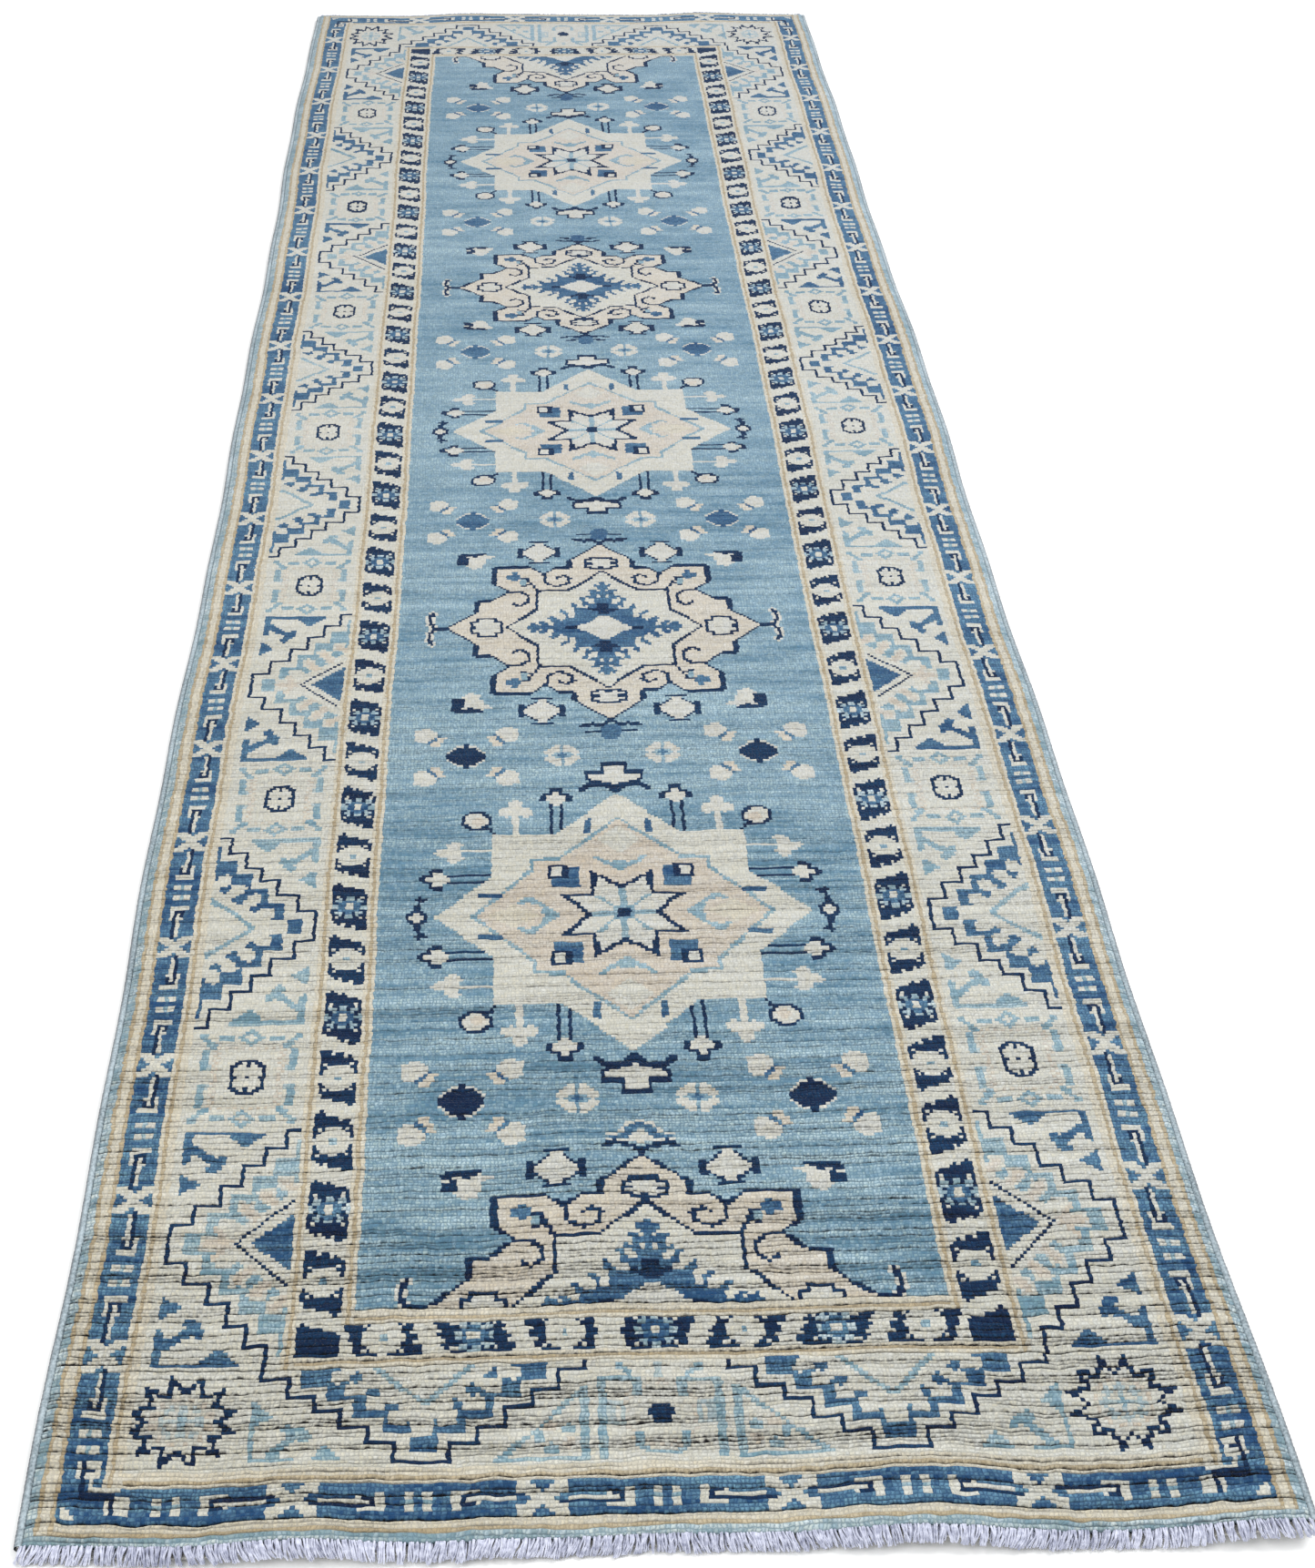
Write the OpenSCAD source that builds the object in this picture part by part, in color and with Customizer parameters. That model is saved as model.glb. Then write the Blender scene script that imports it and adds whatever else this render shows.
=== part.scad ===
// Hand-knotted wool runner with fringed ends, built up layer by layer.
// Millimetres, +X across the runner, +Y along it, +Z up, resting on z = 0.

/* [Pile] */
// spacing of the knots, both across and along
knot = 3; // [2:0.5:5]
// knots across the pile
columns = 270; // [180:2:360]
// rows of knots along the pile
rows = 984; // [700:2:1200]
// height of the cut wool above the ground weave
pile_h = 6.6; // [3:0.2:12]

/* [Ground and ends] */
// thickness of the cotton ground weave
ground_t = 2.4; // [1.5:0.1:4]
// length of the plain-woven web past the last row
web_l = 5; // [3:1:20]
// thickness of the plain-woven web
web_t = 1.8; // [1:0.1:3]
// length of the warp fringe past the web
fringe_l = 10; // [6:1:60]
// thickness of a flattened warp tuft
fringe_t = 1.4; // [0.8:0.1:3]
// spacing of the warp tufts
tuft_pitch = 9; // [6:1:18]
// width of one tuft where it leaves the web
tuft_w = 6; // [3:0.5:12]
// width of one tuft at its tip
tuft_tip_w = 4; // [2:0.5:10]

/* [Selvedge] */
// diameter of the overcast edge cord
cord_d = 6.4; // [4:0.2:10]
// diameter of the bundle of warps inside it
core_d = 3.2; // [2:0.2:6]
// how far the cord centre stands out from the pile
cord_out = 2.6; // [2:0.2:5]

/* [Bands at the sides, in knots] */
// plain edge stripe
edge_k = 2; // [1:1:6]
// line outside the guard border
line_a_k = 4; // [2:1:6]
// guard border
guard_k = 9; // [7:1:14]
// line inside the guard border
line_b_k = 4; // [2:1:6]
// main border
main_k = 31; // [24:1:40]
// line inside the main border
line_c_k = 3; // [2:1:6]
// narrow rosette border
narrow_k = 10; // [8:1:14]
// line next to the field
line_d_k = 3; // [2:1:6]

/* [Bands at the ends, in rows] */
// plain edge stripe
edge_r = 2; // [1:1:6]
// line outside the guard border
line_a_r = 3; // [2:1:6]
// guard border
guard_r = 9; // [7:1:14]
// line inside the guard border
line_b_r = 4; // [2:1:6]
// main border at the near end
main_r = 27; // [20:1:40]
// main border at the far end, which was woven deeper
far_main_r = 36; // [20:1:40]
// line inside the main border
line_c_r = 3; // [2:1:6]
// narrow rosette border
narrow_r = 9; // [8:1:14]
// line next to the field
line_d_r = 4; // [2:1:6]

/* [Medallions, in knots] */
// row of the first star medallion
star_row_1 = 201; // [180:1:220]
// row of the middle star medallion
star_row_2 = 490; // [480:1:500]
// row of the last star medallion
star_row_3 = 765; // [755:1:780]
// row of the first hooked medallion
hooked_row_1 = 350; // [340:1:360]
// row of the last hooked medallion
hooked_row_2 = 621; // [610:1:630]
// how far the middle star medallion was pulled in along the runner
star_pull_2 = 0.9; // [0.85:0.01:1]
// how far the last star medallion was pulled in along the runner
star_pull_3 = 0.98; // [0.85:0.01:1]
// how far the last hooked medallion was pulled in along the runner
hooked_pull_2 = 0.86; // [0.8:0.01:1]
// how far the near half medallion was pulled in along the runner
half_pull_near = 0.87; // [0.8:0.01:1]
// how far the far half medallion was drawn out along the runner
half_pull_far = 1.03; // [0.9:0.01:1.05]
// reach of a star medallion along the runner
star_tip_y = 57; // [50:1:60]
// reach of a star medallion across the runner
star_tip_x = 53; // [40:1:60]
// half side of the square in a star medallion
star_square = 37; // [25:1:42]
// half width of a star point where it leaves the square
star_neck = 18; // [12:1:24]
// reach of a hooked medallion along the runner
hooked_tip_y = 54; // [50:1:58]
// reach of a hooked medallion across the runner
hooked_tip_x = 53; // [40:1:60]

/* [Hidden] */
pile_w = columns * knot;
pile_l = rows * knot;
top_z = ground_t + pile_h;

// outer edge of each band, counted in from the pile edge
line_a_x = edge_k;
guard_x = line_a_x + line_a_k;
line_b_x = guard_x + guard_k;
main_x = line_b_x + line_b_k;
line_c_x = main_x + main_k;
narrow_x = line_c_x + line_c_k;
line_d_x = narrow_x + narrow_k;
field_x = line_d_x + line_d_k;

line_a_y = edge_r;
guard_y = line_a_y + line_a_r;
line_b_y = guard_y + guard_r;
main_y = line_b_y + line_b_r;
line_c_y = main_y + main_r;
narrow_y = line_c_y + line_c_r;
line_d_y = narrow_y + narrow_r;
field_y = line_d_y + line_d_r;

far_extra = far_main_r - main_r;

star_quarter = [
    [0, star_tip_y],
    [star_neck, star_square],
    [star_square, star_square],
    [star_square, star_neck],
    [star_tip_x, 0]
];
hooked_quarter = [
    [0, hooked_tip_y],
    [11, hooked_tip_y - 11],
    [11, 38],
    [16, 38],
    [20, 34],
    [25, 39],
    [37, 39],
    [37, 28],
    [32, 23],
    [38, 17],
    [43, 17],
    [43, 10],
    [hooked_tip_x, 0]
];

wool_pale_blue = [0.55, 0.69, 0.77];
wool_beige = [0.78, 0.72, 0.60];
wool_blue = [0.27, 0.43, 0.62];
wool_ivory = [0.88, 0.86, 0.79];
wool_navy = [0.12, 0.17, 0.33];
wool_sky = [0.47, 0.64, 0.77];
wool_pink = [0.82, 0.76, 0.68];
cotton = [0.86, 0.85, 0.84];
overcast = [0.55, 0.67, 0.74];

// rows in from the far end, for a band that lies y rows in from the near end
function far(y) = y > main_y ? y + far_extra : y;

function main_rows(end) = end > 0 ? far_main_r : main_r;

// a whole outline from the quarter of it that runs from the +Y tip to the +X tip
function whole(q) = let (n = len(q)) concat(
    [for (i = [0 : n - 1]) q[i]],
    [for (i = [n - 2 : -1 : 0]) [q[i].x, -q[i].y]],
    [for (i = [1 : n - 1]) [-q[i].x, -q[i].y]],
    [for (i = [n - 2 : -1 : 1]) [-q[i].x, q[i].y]]
);

// a block of pile standing on the ground weave, over a flat shape given in knots
module pile() {
    translate([0, 0, ground_t])
        linear_extrude(height = pile_h)
            scale([knot, knot])
                children();
}

// the rectangle left after going x knots in from the sides and y rows in from the ends
module inset(x, y) {
    translate([0, (y - far(y)) / 2])
        square([columns - 2 * x, rows - y - far(y)], center = true);
}

// a strip down one side: k knots wide, x in from the edge, y in at both ends
module side_strip(side, x, k, y) {
    translate([side * (columns / 2 - x - k / 2), (y - far(y)) / 2])
        square([k, rows - y - far(y)], center = true);
}

// a strip across one end: r rows deep, y in from the edge, x in at both sides
module end_strip(end, y, r, x) {
    inward = end > 0 ? far(y) : y;
    translate([0, end * (rows / 2 - inward - r / 2)])
        square([columns - 2 * x, r], center = true);
}

module corner_box(side, end) {
    r = main_rows(end);
    translate([side * (columns / 2 - main_x - main_k / 2),
               end * (rows / 2 - main_y - r / 2)])
        square([main_k, r], center = true);
}

// put a medallion at its row, pulled in or drawn out along the runner
module at_row(r, pull = 1) {
    translate([0, r - rows / 2])
        scale([1, pull])
            children();
}

module star_shape() {
    polygon(whole(star_quarter));
}

module hooked_shape() {
    polygon(whole(hooked_quarter));
}

// the half of a hooked medallion that fits in before the field ends
module half_hooked_shape(end) {
    intersection() {
        if (end < 0)
            at_row(field_y, half_pull_near) hooked_shape();
        else
            at_row(rows - far(field_y), half_pull_far) hooked_shape();
        inset(field_x, field_y);
    }
}

module medallion_shapes() {
    at_row(star_row_1) star_shape();
    at_row(star_row_2, star_pull_2) star_shape();
    at_row(star_row_3, star_pull_3) star_shape();
    at_row(hooked_row_1) hooked_shape();
    at_row(hooked_row_2, hooked_pull_2) hooked_shape();
    half_hooked_shape(-1);
    half_hooked_shape(1);
}

module ground_weave() {
    color(cotton)
        translate([-pile_w / 2, -pile_l / 2, 0])
            cube([pile_w, pile_l, ground_t]);
}

// the plain web past the last row of knots; end = -1 near, 1 far
module web(end) {
    color(cotton)
        translate([-pile_w / 2, end > 0 ? pile_l / 2 : -pile_l / 2 - web_l, 0])
            cube([pile_w, web_l, web_t]);
}

// warp ends in tufts, held together by the header they leave from
module fringe(end) {
    header = 2;
    count = floor(pile_w / tuft_pitch);
    color(cotton)
        scale([1, end, 1])
            translate([0, pile_l / 2 + web_l, 0])
                linear_extrude(height = fringe_t) {
                    translate([-pile_w / 2, 0])
                        square([pile_w, header]);
                    for (i = [0 : count - 1])
                        translate([(i + 0.5 - count / 2) * tuft_pitch, 0])
                            polygon([
                                [-tuft_w / 2, header / 2],
                                [tuft_w / 2, header / 2],
                                [tuft_tip_w / 2, fringe_l],
                                [-tuft_tip_w / 2, fringe_l]
                            ]);
                }
}

module cord(side, d) {
    translate([side * (pile_w / 2 + cord_out), 0, cord_d / 2])
        rotate([90, 0, 0])
            cylinder(h = pile_l, d = d, center = true, $fn = 32);
}

module selvedge_core(side) {
    color(cotton)
        cord(side, core_d);
}

// overcasting wool round the core, flat where it is bound against the runner's edge
module selvedge_wrap(side) {
    color(overcast)
        difference() {
            cord(side, cord_d);
            cord(side, core_d);
            translate([-pile_w / 2, -pile_l, -1])
                cube([pile_w, 2 * pile_l, top_z + 2]);
        }
}

module edge_stripe_side(side) {
    color(wool_pale_blue) pile() side_strip(side, 0, edge_k, 0);
}

module edge_stripe_end(end) {
    color(wool_pale_blue) pile() end_strip(end, 0, edge_r, line_a_x);
}

// one side of a plain line between two borders
module line_side(side, x, k, y) {
    color(wool_beige) pile() side_strip(side, x, k, y);
}

// one end of a plain line, between its two sides
module line_end(end, y, r, x) {
    color(wool_beige) pile() end_strip(end, y, r, x);
}

module guard_side(side) {
    color(wool_blue) pile() side_strip(side, guard_x, guard_k, guard_y);
}

module guard_end(end) {
    color(wool_blue) pile() end_strip(end, guard_y, guard_r, line_b_x);
}

module main_side(side) {
    color(wool_ivory) pile() side_strip(side, main_x, main_k, line_c_y);
}

module main_end(end) {
    color(wool_ivory) pile() end_strip(end, main_y, main_rows(end), line_c_x);
}

module corner(side, end) {
    color(wool_ivory) pile() corner_box(side, end);
}

module narrow_side(side) {
    color(wool_navy) pile() side_strip(side, narrow_x, narrow_k, narrow_y);
}

module narrow_end(end) {
    color(wool_navy) pile() end_strip(end, narrow_y, narrow_r, line_d_x);
}

// one half of the field, cut out round the medallions
module field(side) {
    half_w = columns / 2 - field_x;
    color(wool_sky)
        pile()
            difference() {
                side_strip(side, field_x, half_w, field_y);
                medallion_shapes();
            }
}

module star(r, pull = 1) {
    color(wool_ivory) pile() at_row(r, pull) star_shape();
}

module hooked(r, pull = 1) {
    color(wool_pink) pile() at_row(r, pull) hooked_shape();
}

module half_hooked(end) {
    color(wool_pink) pile() half_hooked_shape(end);
}

ground_weave();
web(-1);  // web_near
web(1);  // web_far
fringe(-1);  // fringe_near
fringe(1);  // fringe_far
selvedge_core(-1);  // selvedge_core_left
selvedge_core(1);  // selvedge_core_right
selvedge_wrap(-1);  // selvedge_wrap_left
selvedge_wrap(1);  // selvedge_wrap_right
edge_stripe_side(-1);  // edge_stripe_left
edge_stripe_side(1);  // edge_stripe_right
edge_stripe_end(-1);  // edge_stripe_near
edge_stripe_end(1);  // edge_stripe_far
line_side(-1, line_a_x, line_a_k, line_a_y);  // line_a_left
line_side(1, line_a_x, line_a_k, line_a_y);  // line_a_right
line_end(-1, line_a_y, line_a_r, guard_x);  // line_a_near
line_end(1, line_a_y, line_a_r, guard_x);  // line_a_far
guard_side(-1);  // guard_left
guard_side(1);  // guard_right
guard_end(-1);  // guard_near
guard_end(1);  // guard_far
line_side(-1, line_b_x, line_b_k, line_b_y);  // line_b_left
line_side(1, line_b_x, line_b_k, line_b_y);  // line_b_right
line_end(-1, line_b_y, line_b_r, main_x);  // line_b_near
line_end(1, line_b_y, line_b_r, main_x);  // line_b_far
main_side(-1);  // main_left
main_side(1);  // main_right
main_end(-1);  // main_near
main_end(1);  // main_far
corner(-1, -1);  // corner_near_left
corner(1, -1);  // corner_near_right
corner(-1, 1);  // corner_far_left
corner(1, 1);  // corner_far_right
line_side(-1, line_c_x, line_c_k, line_c_y);  // line_c_left
line_side(1, line_c_x, line_c_k, line_c_y);  // line_c_right
line_end(-1, line_c_y, line_c_r, narrow_x);  // line_c_near
line_end(1, line_c_y, line_c_r, narrow_x);  // line_c_far
narrow_side(-1);  // narrow_left
narrow_side(1);  // narrow_right
narrow_end(-1);  // narrow_near
narrow_end(1);  // narrow_far
line_side(-1, line_d_x, line_d_k, line_d_y);  // line_d_left
line_side(1, line_d_x, line_d_k, line_d_y);  // line_d_right
line_end(-1, line_d_y, line_d_r, field_x);  // line_d_near
line_end(1, line_d_y, line_d_r, field_x);  // line_d_far
field(-1);  // field_left
field(1);  // field_right
half_hooked(-1);  // half_hooked_near
star(star_row_1);  // star_1
hooked(hooked_row_1);  // hooked_1
star(star_row_2, star_pull_2);  // star_2
hooked(hooked_row_2, hooked_pull_2);  // hooked_2
star(star_row_3, star_pull_3);  // star_3
half_hooked(1);  // half_hooked_far
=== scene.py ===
"""A hand-knotted runner rug: knotted pile, woven ground, overcast edges and fringes, on a pale floor."""

import math

import bpy
import numpy as np
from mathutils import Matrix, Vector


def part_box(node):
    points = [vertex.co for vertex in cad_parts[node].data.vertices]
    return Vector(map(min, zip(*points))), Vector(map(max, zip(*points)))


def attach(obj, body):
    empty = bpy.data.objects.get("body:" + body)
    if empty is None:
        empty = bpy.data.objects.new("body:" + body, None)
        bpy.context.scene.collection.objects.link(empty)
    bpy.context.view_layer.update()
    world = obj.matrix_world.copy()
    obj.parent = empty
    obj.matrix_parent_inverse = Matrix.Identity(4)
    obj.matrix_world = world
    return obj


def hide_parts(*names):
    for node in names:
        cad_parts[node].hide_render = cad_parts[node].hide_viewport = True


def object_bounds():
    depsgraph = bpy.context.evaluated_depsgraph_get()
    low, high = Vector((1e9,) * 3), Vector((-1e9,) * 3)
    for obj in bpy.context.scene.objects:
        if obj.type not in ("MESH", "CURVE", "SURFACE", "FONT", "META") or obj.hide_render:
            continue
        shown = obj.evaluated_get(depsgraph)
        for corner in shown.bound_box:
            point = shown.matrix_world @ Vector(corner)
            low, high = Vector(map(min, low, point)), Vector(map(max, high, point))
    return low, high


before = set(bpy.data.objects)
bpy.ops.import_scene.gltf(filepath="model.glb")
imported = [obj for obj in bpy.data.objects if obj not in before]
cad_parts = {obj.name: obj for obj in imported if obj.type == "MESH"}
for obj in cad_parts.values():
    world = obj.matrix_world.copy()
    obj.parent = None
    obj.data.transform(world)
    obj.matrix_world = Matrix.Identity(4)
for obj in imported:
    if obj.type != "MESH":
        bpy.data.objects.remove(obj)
cad_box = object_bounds()
chance = np.random.default_rng(7)

# ------ knots and yarns

KNOT = 0.003                     # spacing of knots and of rows
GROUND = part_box("ground_weave")    # the pile covers the ground weave exactly
COLS = round((GROUND[1][0] - GROUND[0][0]) / KNOT)
ROWS = round((GROUND[1][1] - GROUND[0][1]) / KNOT)
MIDDLE = COLS / 2
PILE_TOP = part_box("field_left")[1][2]
GROUND_TOP = GROUND[1][2]

# dyed yarns in the cut pile, in sRGB: where the dye took well, and where it is faded
YARNS = {
    "sky": ((0.352, 0.500, 0.596), (0.690, 0.782, 0.824)),
    "ivory": ((0.772, 0.771, 0.738), (0.816, 0.819, 0.803)),
    "navy": ((0.015, 0.115, 0.250), (0.090, 0.240, 0.385)),
    "blue": ((0.130, 0.282, 0.440), (0.395, 0.552, 0.665)),
    "teal": ((0.430, 0.565, 0.635), (0.690, 0.772, 0.810)),
    "beige": ((0.770, 0.750, 0.695), (0.828, 0.812, 0.768)),
    "tan": ((0.650, 0.598, 0.502), (0.770, 0.728, 0.645)),
    "pink": ((0.758, 0.728, 0.678), (0.810, 0.799, 0.772)),
    "blush": ((0.750, 0.712, 0.662), (0.808, 0.794, 0.768)),
    "pale": ((0.485, 0.592, 0.645), (0.790, 0.842, 0.870)),
    "denim": ((0.122, 0.275, 0.442), (0.435, 0.602, 0.708)),
    "white": ((0.768, 0.769, 0.745), (0.810, 0.814, 0.803)),
    "faint": ((0.615, 0.692, 0.722), (0.740, 0.782, 0.795)),
}
CODE = {name: i for i, name in enumerate(YARNS)}


def knots(node):
    """First and last column and row of the pile that a CAD node holds."""
    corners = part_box(node)
    cols = [round((corner[0] - GROUND[0][0]) / KNOT) for corner in corners]
    rows = [round((corner[1] - GROUND[0][1]) / KNOT) for corner in corners]
    return *cols, *rows


FIELD_LOW, FIELD_HIGH = knots("field_left")[2:]
chart = np.zeros((ROWS, COLS), dtype=int)


class Pen:
    """Draws on part of the chart, in axes of its own: s along a motif and d across it, in knots."""

    def __init__(self, cells, s, d):
        self.cells = cells
        self.s = s
        self.d = d

    def paint(self, where, yarn):
        self.cells[where] = CODE[yarn]

    def inside(self, points):
        """Where the knots lie inside a closed outline."""
        found = np.zeros(self.s.shape, dtype=bool)
        for (s0, d0), (s1, d1) in zip(points, points[1:] + points[:1]):
            if d0 == d1:
                continue
            crosses = (self.d < d0) != (self.d < d1)
            at = s0 + (self.d - d0) * (s1 - s0) / (d1 - d0)
            found ^= crosses & (self.s < at)
        return found

    def near(self, points, width):
        """Where the knots lie on a line through points."""
        found = np.zeros(self.s.shape, dtype=bool)
        for (s0, d0), (s1, d1) in zip(points, points[1:]):
            ls, ld = s1 - s0, d1 - d0
            along = ((self.s - s0) * ls + (self.d - d0) * ld) / max(ls * ls + ld * ld, 1e-9)
            along = np.clip(along, 0, 1)
            away = np.hypot(self.s - s0 - along * ls, self.d - d0 - along * ld)
            found |= away <= width / 2
        return found

    def fill(self, points, yarn):
        self.paint(self.inside(points), yarn)

    def line(self, points, yarn, width=1.25):
        self.paint(self.near(points, width), yarn)

    def block(self, s0, s1, d0, d1, yarn):
        self.paint((self.s >= s0) & (self.s <= s1) & (self.d >= d0) & (self.d <= d1), yarn)

    def bar(self, s, d, half_s, half_d, yarn):
        self.paint((np.abs(self.s - s) <= half_s) & (np.abs(self.d - d) <= half_d), yarn)

    def octagon(self, half_s, half_d, cut, yarn):
        """A bar about the pen's own centre, without its corners."""
        share = np.maximum(self.s / half_s, self.d / half_d)
        self.paint(np.maximum(share, (self.s + self.d) / cut) <= 1, yarn)

    def disc(self, s, d, radius, yarn):
        self.paint(np.hypot(self.s - s, self.d - d) <= radius, yarn)

    def diamond(self, s, d, half_s, half_d, yarn):
        self.paint(np.abs(self.s - s) / half_s + np.abs(self.d - d) / half_d <= 1, yarn)


def window(c0, c1, r0, r1):
    """Clipped slice of the chart, and the column and row of each knot's centre in it."""
    c0, c1 = max(0, int(c0)), min(COLS, int(c1))
    r0, r1 = max(0, int(r0)), min(ROWS, int(r1))
    rows, cols = np.mgrid[r0:r1, c0:c1] + 0.5
    return chart[r0:r1, c0:c1], cols, rows


def pen_at(col, row, half_c, half_r, pull=1.0):
    """A pen centred on a motif, which draws all four quarters of it at once. It stays in the field."""
    low, high = max(FIELD_LOW, row - half_r), min(FIELD_HIGH, row + half_r)
    cells, cols, rows = window(col - half_c, col + half_c, low, high)
    return Pen(cells, np.abs(cols - col), np.abs(rows - row) / pull)


def strip_pen(node, beyond=0):
    """A pen for a border strip: s runs along it in rows or columns, d is the depth from its outer edge."""
    c0, c1, r0, r1 = knots(node)
    cells, cols, rows = window(c0 - beyond, c1 + beyond, r0, r1)
    if node.endswith("left"):
        return Pen(cells, rows, cols - c0)
    if node.endswith("right"):
        return Pen(cells, rows, c1 - cols)
    if node.endswith("near"):
        return Pen(cells, cols, rows - r0)
    return Pen(cells, cols, r1 - rows)


def part_of(pen, low, high):
    """The stretch of a strip pen whose s lies from low to high."""
    rows, cols = np.nonzero((pen.s > low) & (pen.s < high))
    cut = slice(rows.min(), rows.max() + 1), slice(cols.min(), cols.max() + 1)
    return Pen(pen.cells[cut], pen.s[cut], pen.d[cut])


# ------ plain areas and lines

FLANKS = ("left", "right")
ENDS = ("near", "far")
SIDES = FLANKS + ENDS
CORNERS = [f"{end}_{side}" for end in ENDS for side in FLANKS]
GROUND_YARN = {"edge_stripe": "pale", "guard": "denim", "main": "ivory", "narrow": "navy"}


def draw_grounds():
    """Each border in its own plain yarn, and the corner boxes."""
    for band, yarn in GROUND_YARN.items():
        for side in SIDES:
            strip_pen(f"{band}_{side}").paint(..., yarn)
    for corner in CORNERS:
        strip_pen(f"corner_{corner}").paint(..., "ivory")


def draw_lines():
    """The beige lines between the borders: tan at the edges of line a, and along the middle of the rest."""
    for name in "abcd":
        for side in SIDES:
            pen = strip_pen(f"line_{name}_{side}")
            pen.paint(..., "beige")
            tan = (pen.d < 1.4) | (pen.d > 3) if name == "a" else (pen.d > 1) & (pen.d < 2)
            pen.paint(tan, "tan")


# ------ guard border

GUARD_DEPTH = 9
GUARD_UNIT = 47.0       # repeat of the guard border along the sides
GUARD_START = -21.0
GUARD_END_UNIT = 53.0   # and along the ends, from the middle
GUARD_TURN = 16         # how far the turn at a corner reaches


def guard_unit(pen, start, unit, flip=False):
    """Dots, a hooked box with its bar, a butterfly, then bar and hooked box on the other side."""
    part = part_of(pen, start - 4, start + unit + 4)
    s = (part.s - start) * GUARD_UNIT / unit
    depth = GUARD_DEPTH - part.d if flip else part.d
    for s_way, d_way in ((s, depth), (GUARD_UNIT - s, GUARD_DEPTH - depth)):
        half = Pen(part.cells, s_way, d_way)
        half.block(5.8, 11.6, 2.2, 7.4, "ivory")
        half.block(8.0, 11.6, 1.2, 3.4, "blue")
        half.block(11.6, 19, 4.2, 5.2, "ivory")
        half.block(7.8, 20.5, 5.2, 6.3, "navy")
        half.block(7.8, 9.2, 3.4, 6.3, "navy")
        half.block(7.8, 10.6, 3.4, 4.4, "navy")
        for dot_s in (-1.9, 1.9):
            half.bar(dot_s, GUARD_DEPTH / 2, 1.2, 2.9, "teal")
            for dot_d in (2.8, 6.2):
                half.bar(dot_s, dot_d, 1.2, 1.2, "ivory")
    along, across = np.abs(s - GUARD_UNIT / 2) / 4.9, np.abs(depth - GUARD_DEPTH / 2) / 4.1
    part.paint((along <= 1) & (across <= 1) & (np.abs(along - across) <= 0.48), "ivory")


def guard_corner(side, end):
    """The stepped hook that turns the corner, drawn from the outer corner of the guard border."""
    c0, c1, _, _ = knots(f"guard_{side}")
    _, _, r0, r1 = knots(f"guard_{end}")
    col, col_way = (c0, 1) if side == "left" else (c1, -1)
    row, row_way = (r0, 1) if end == "near" else (r1, -1)
    reach = sorted((col, col + col_way * GUARD_TURN)) + sorted((row, row + row_way * GUARD_TURN))
    cells, cols, rows = window(*reach)
    pen = Pen(cells, (cols - col) * col_way, (rows - row) * row_way)
    pen.paint((pen.s < GUARD_DEPTH) | (pen.d < GUARD_DEPTH), "denim")
    pen.block(3.4, 8, 11, 15.5, "ivory")
    pen.block(10.4, 14.5, 2.4, 7, "ivory")
    pen.line([(6.2, 13), (6.2, 8.4), (12, 8.4)], "ivory", 1.2)
    pen.line([(4.7, 15), (4.7, 7), (11.4, 7), (11.4, 2.4)], "navy", 1.4)
    pen.line([(4.7, 13.5), (6.6, 13.5)], "navy", 1.2)
    pen.fill([(1, 1), (5, 1), (1, 5)], "ivory")


def draw_guard():
    for side in FLANKS:
        pen = strip_pen(f"guard_{side}")
        for k in range(math.ceil(ROWS / GUARD_UNIT)):
            guard_unit(pen, GUARD_START + k * GUARD_UNIT, GUARD_UNIT)
    for end in ENDS:
        # from the middle outwards, both ways
        pen = strip_pen(f"guard_{end}")
        pen.s = pen.s - MIDDLE
        mirrored = Pen(pen.cells[:, ::-1], -pen.s[:, ::-1], pen.d[:, ::-1])
        for k in range(3):
            for half in (pen, mirrored):
                guard_unit(half, k * GUARD_END_UNIT, GUARD_END_UNIT, flip=True)
        for side in FLANKS:
            guard_corner(side, end)


# ------ narrow border

NARROW_PITCH = 22.5       # repeat of the narrow border along the sides
NARROW_END_PITCH = 20.7   # and along the ends
NARROW_MIDDLE = 5         # half its depth


def rosette(pen, yarn):
    """A small round flower about a pen's own centre."""
    radius, angle = np.hypot(pen.s, pen.d), np.arctan2(pen.d, pen.s)
    if yarn == "ivory":
        pen.paint((radius <= 4.7) & (pen.s + pen.d <= 6.3), "ivory")
        pen.paint(radius <= 0.9, "sky")
    else:
        petals = np.cos(8 * angle) > -0.45
        pen.paint(radius <= 5.2, "navy")
        pen.paint((radius <= 4.7) & petals, "pale")
        pen.paint(radius <= 3.0, "blue")
        pen.paint(radius <= 1.5, "ivory")


def narrow_cell(pen, centre, pitch, yarn, lean):
    """A rosette between two slanting toothed bars."""
    part = part_of(pen, centre - pitch * 0.7, centre + pitch * 0.7)
    depth = part.d - NARROW_MIDDLE
    for edge in (-0.5, 0.5):
        bar = np.abs(part.s - centre - edge * pitch - lean * depth)
        tooth = part.d.astype(int) % 3 == 0
        part.paint((bar <= 2.3) | ((bar <= 3.3) & tooth), "ivory")
    flower = Pen(part.cells, np.abs(part.s - centre), np.abs(depth))
    rosette(flower, yarn)
    flower.block(4.0, 5.2, 3.4, 4.4, "ivory")


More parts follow.
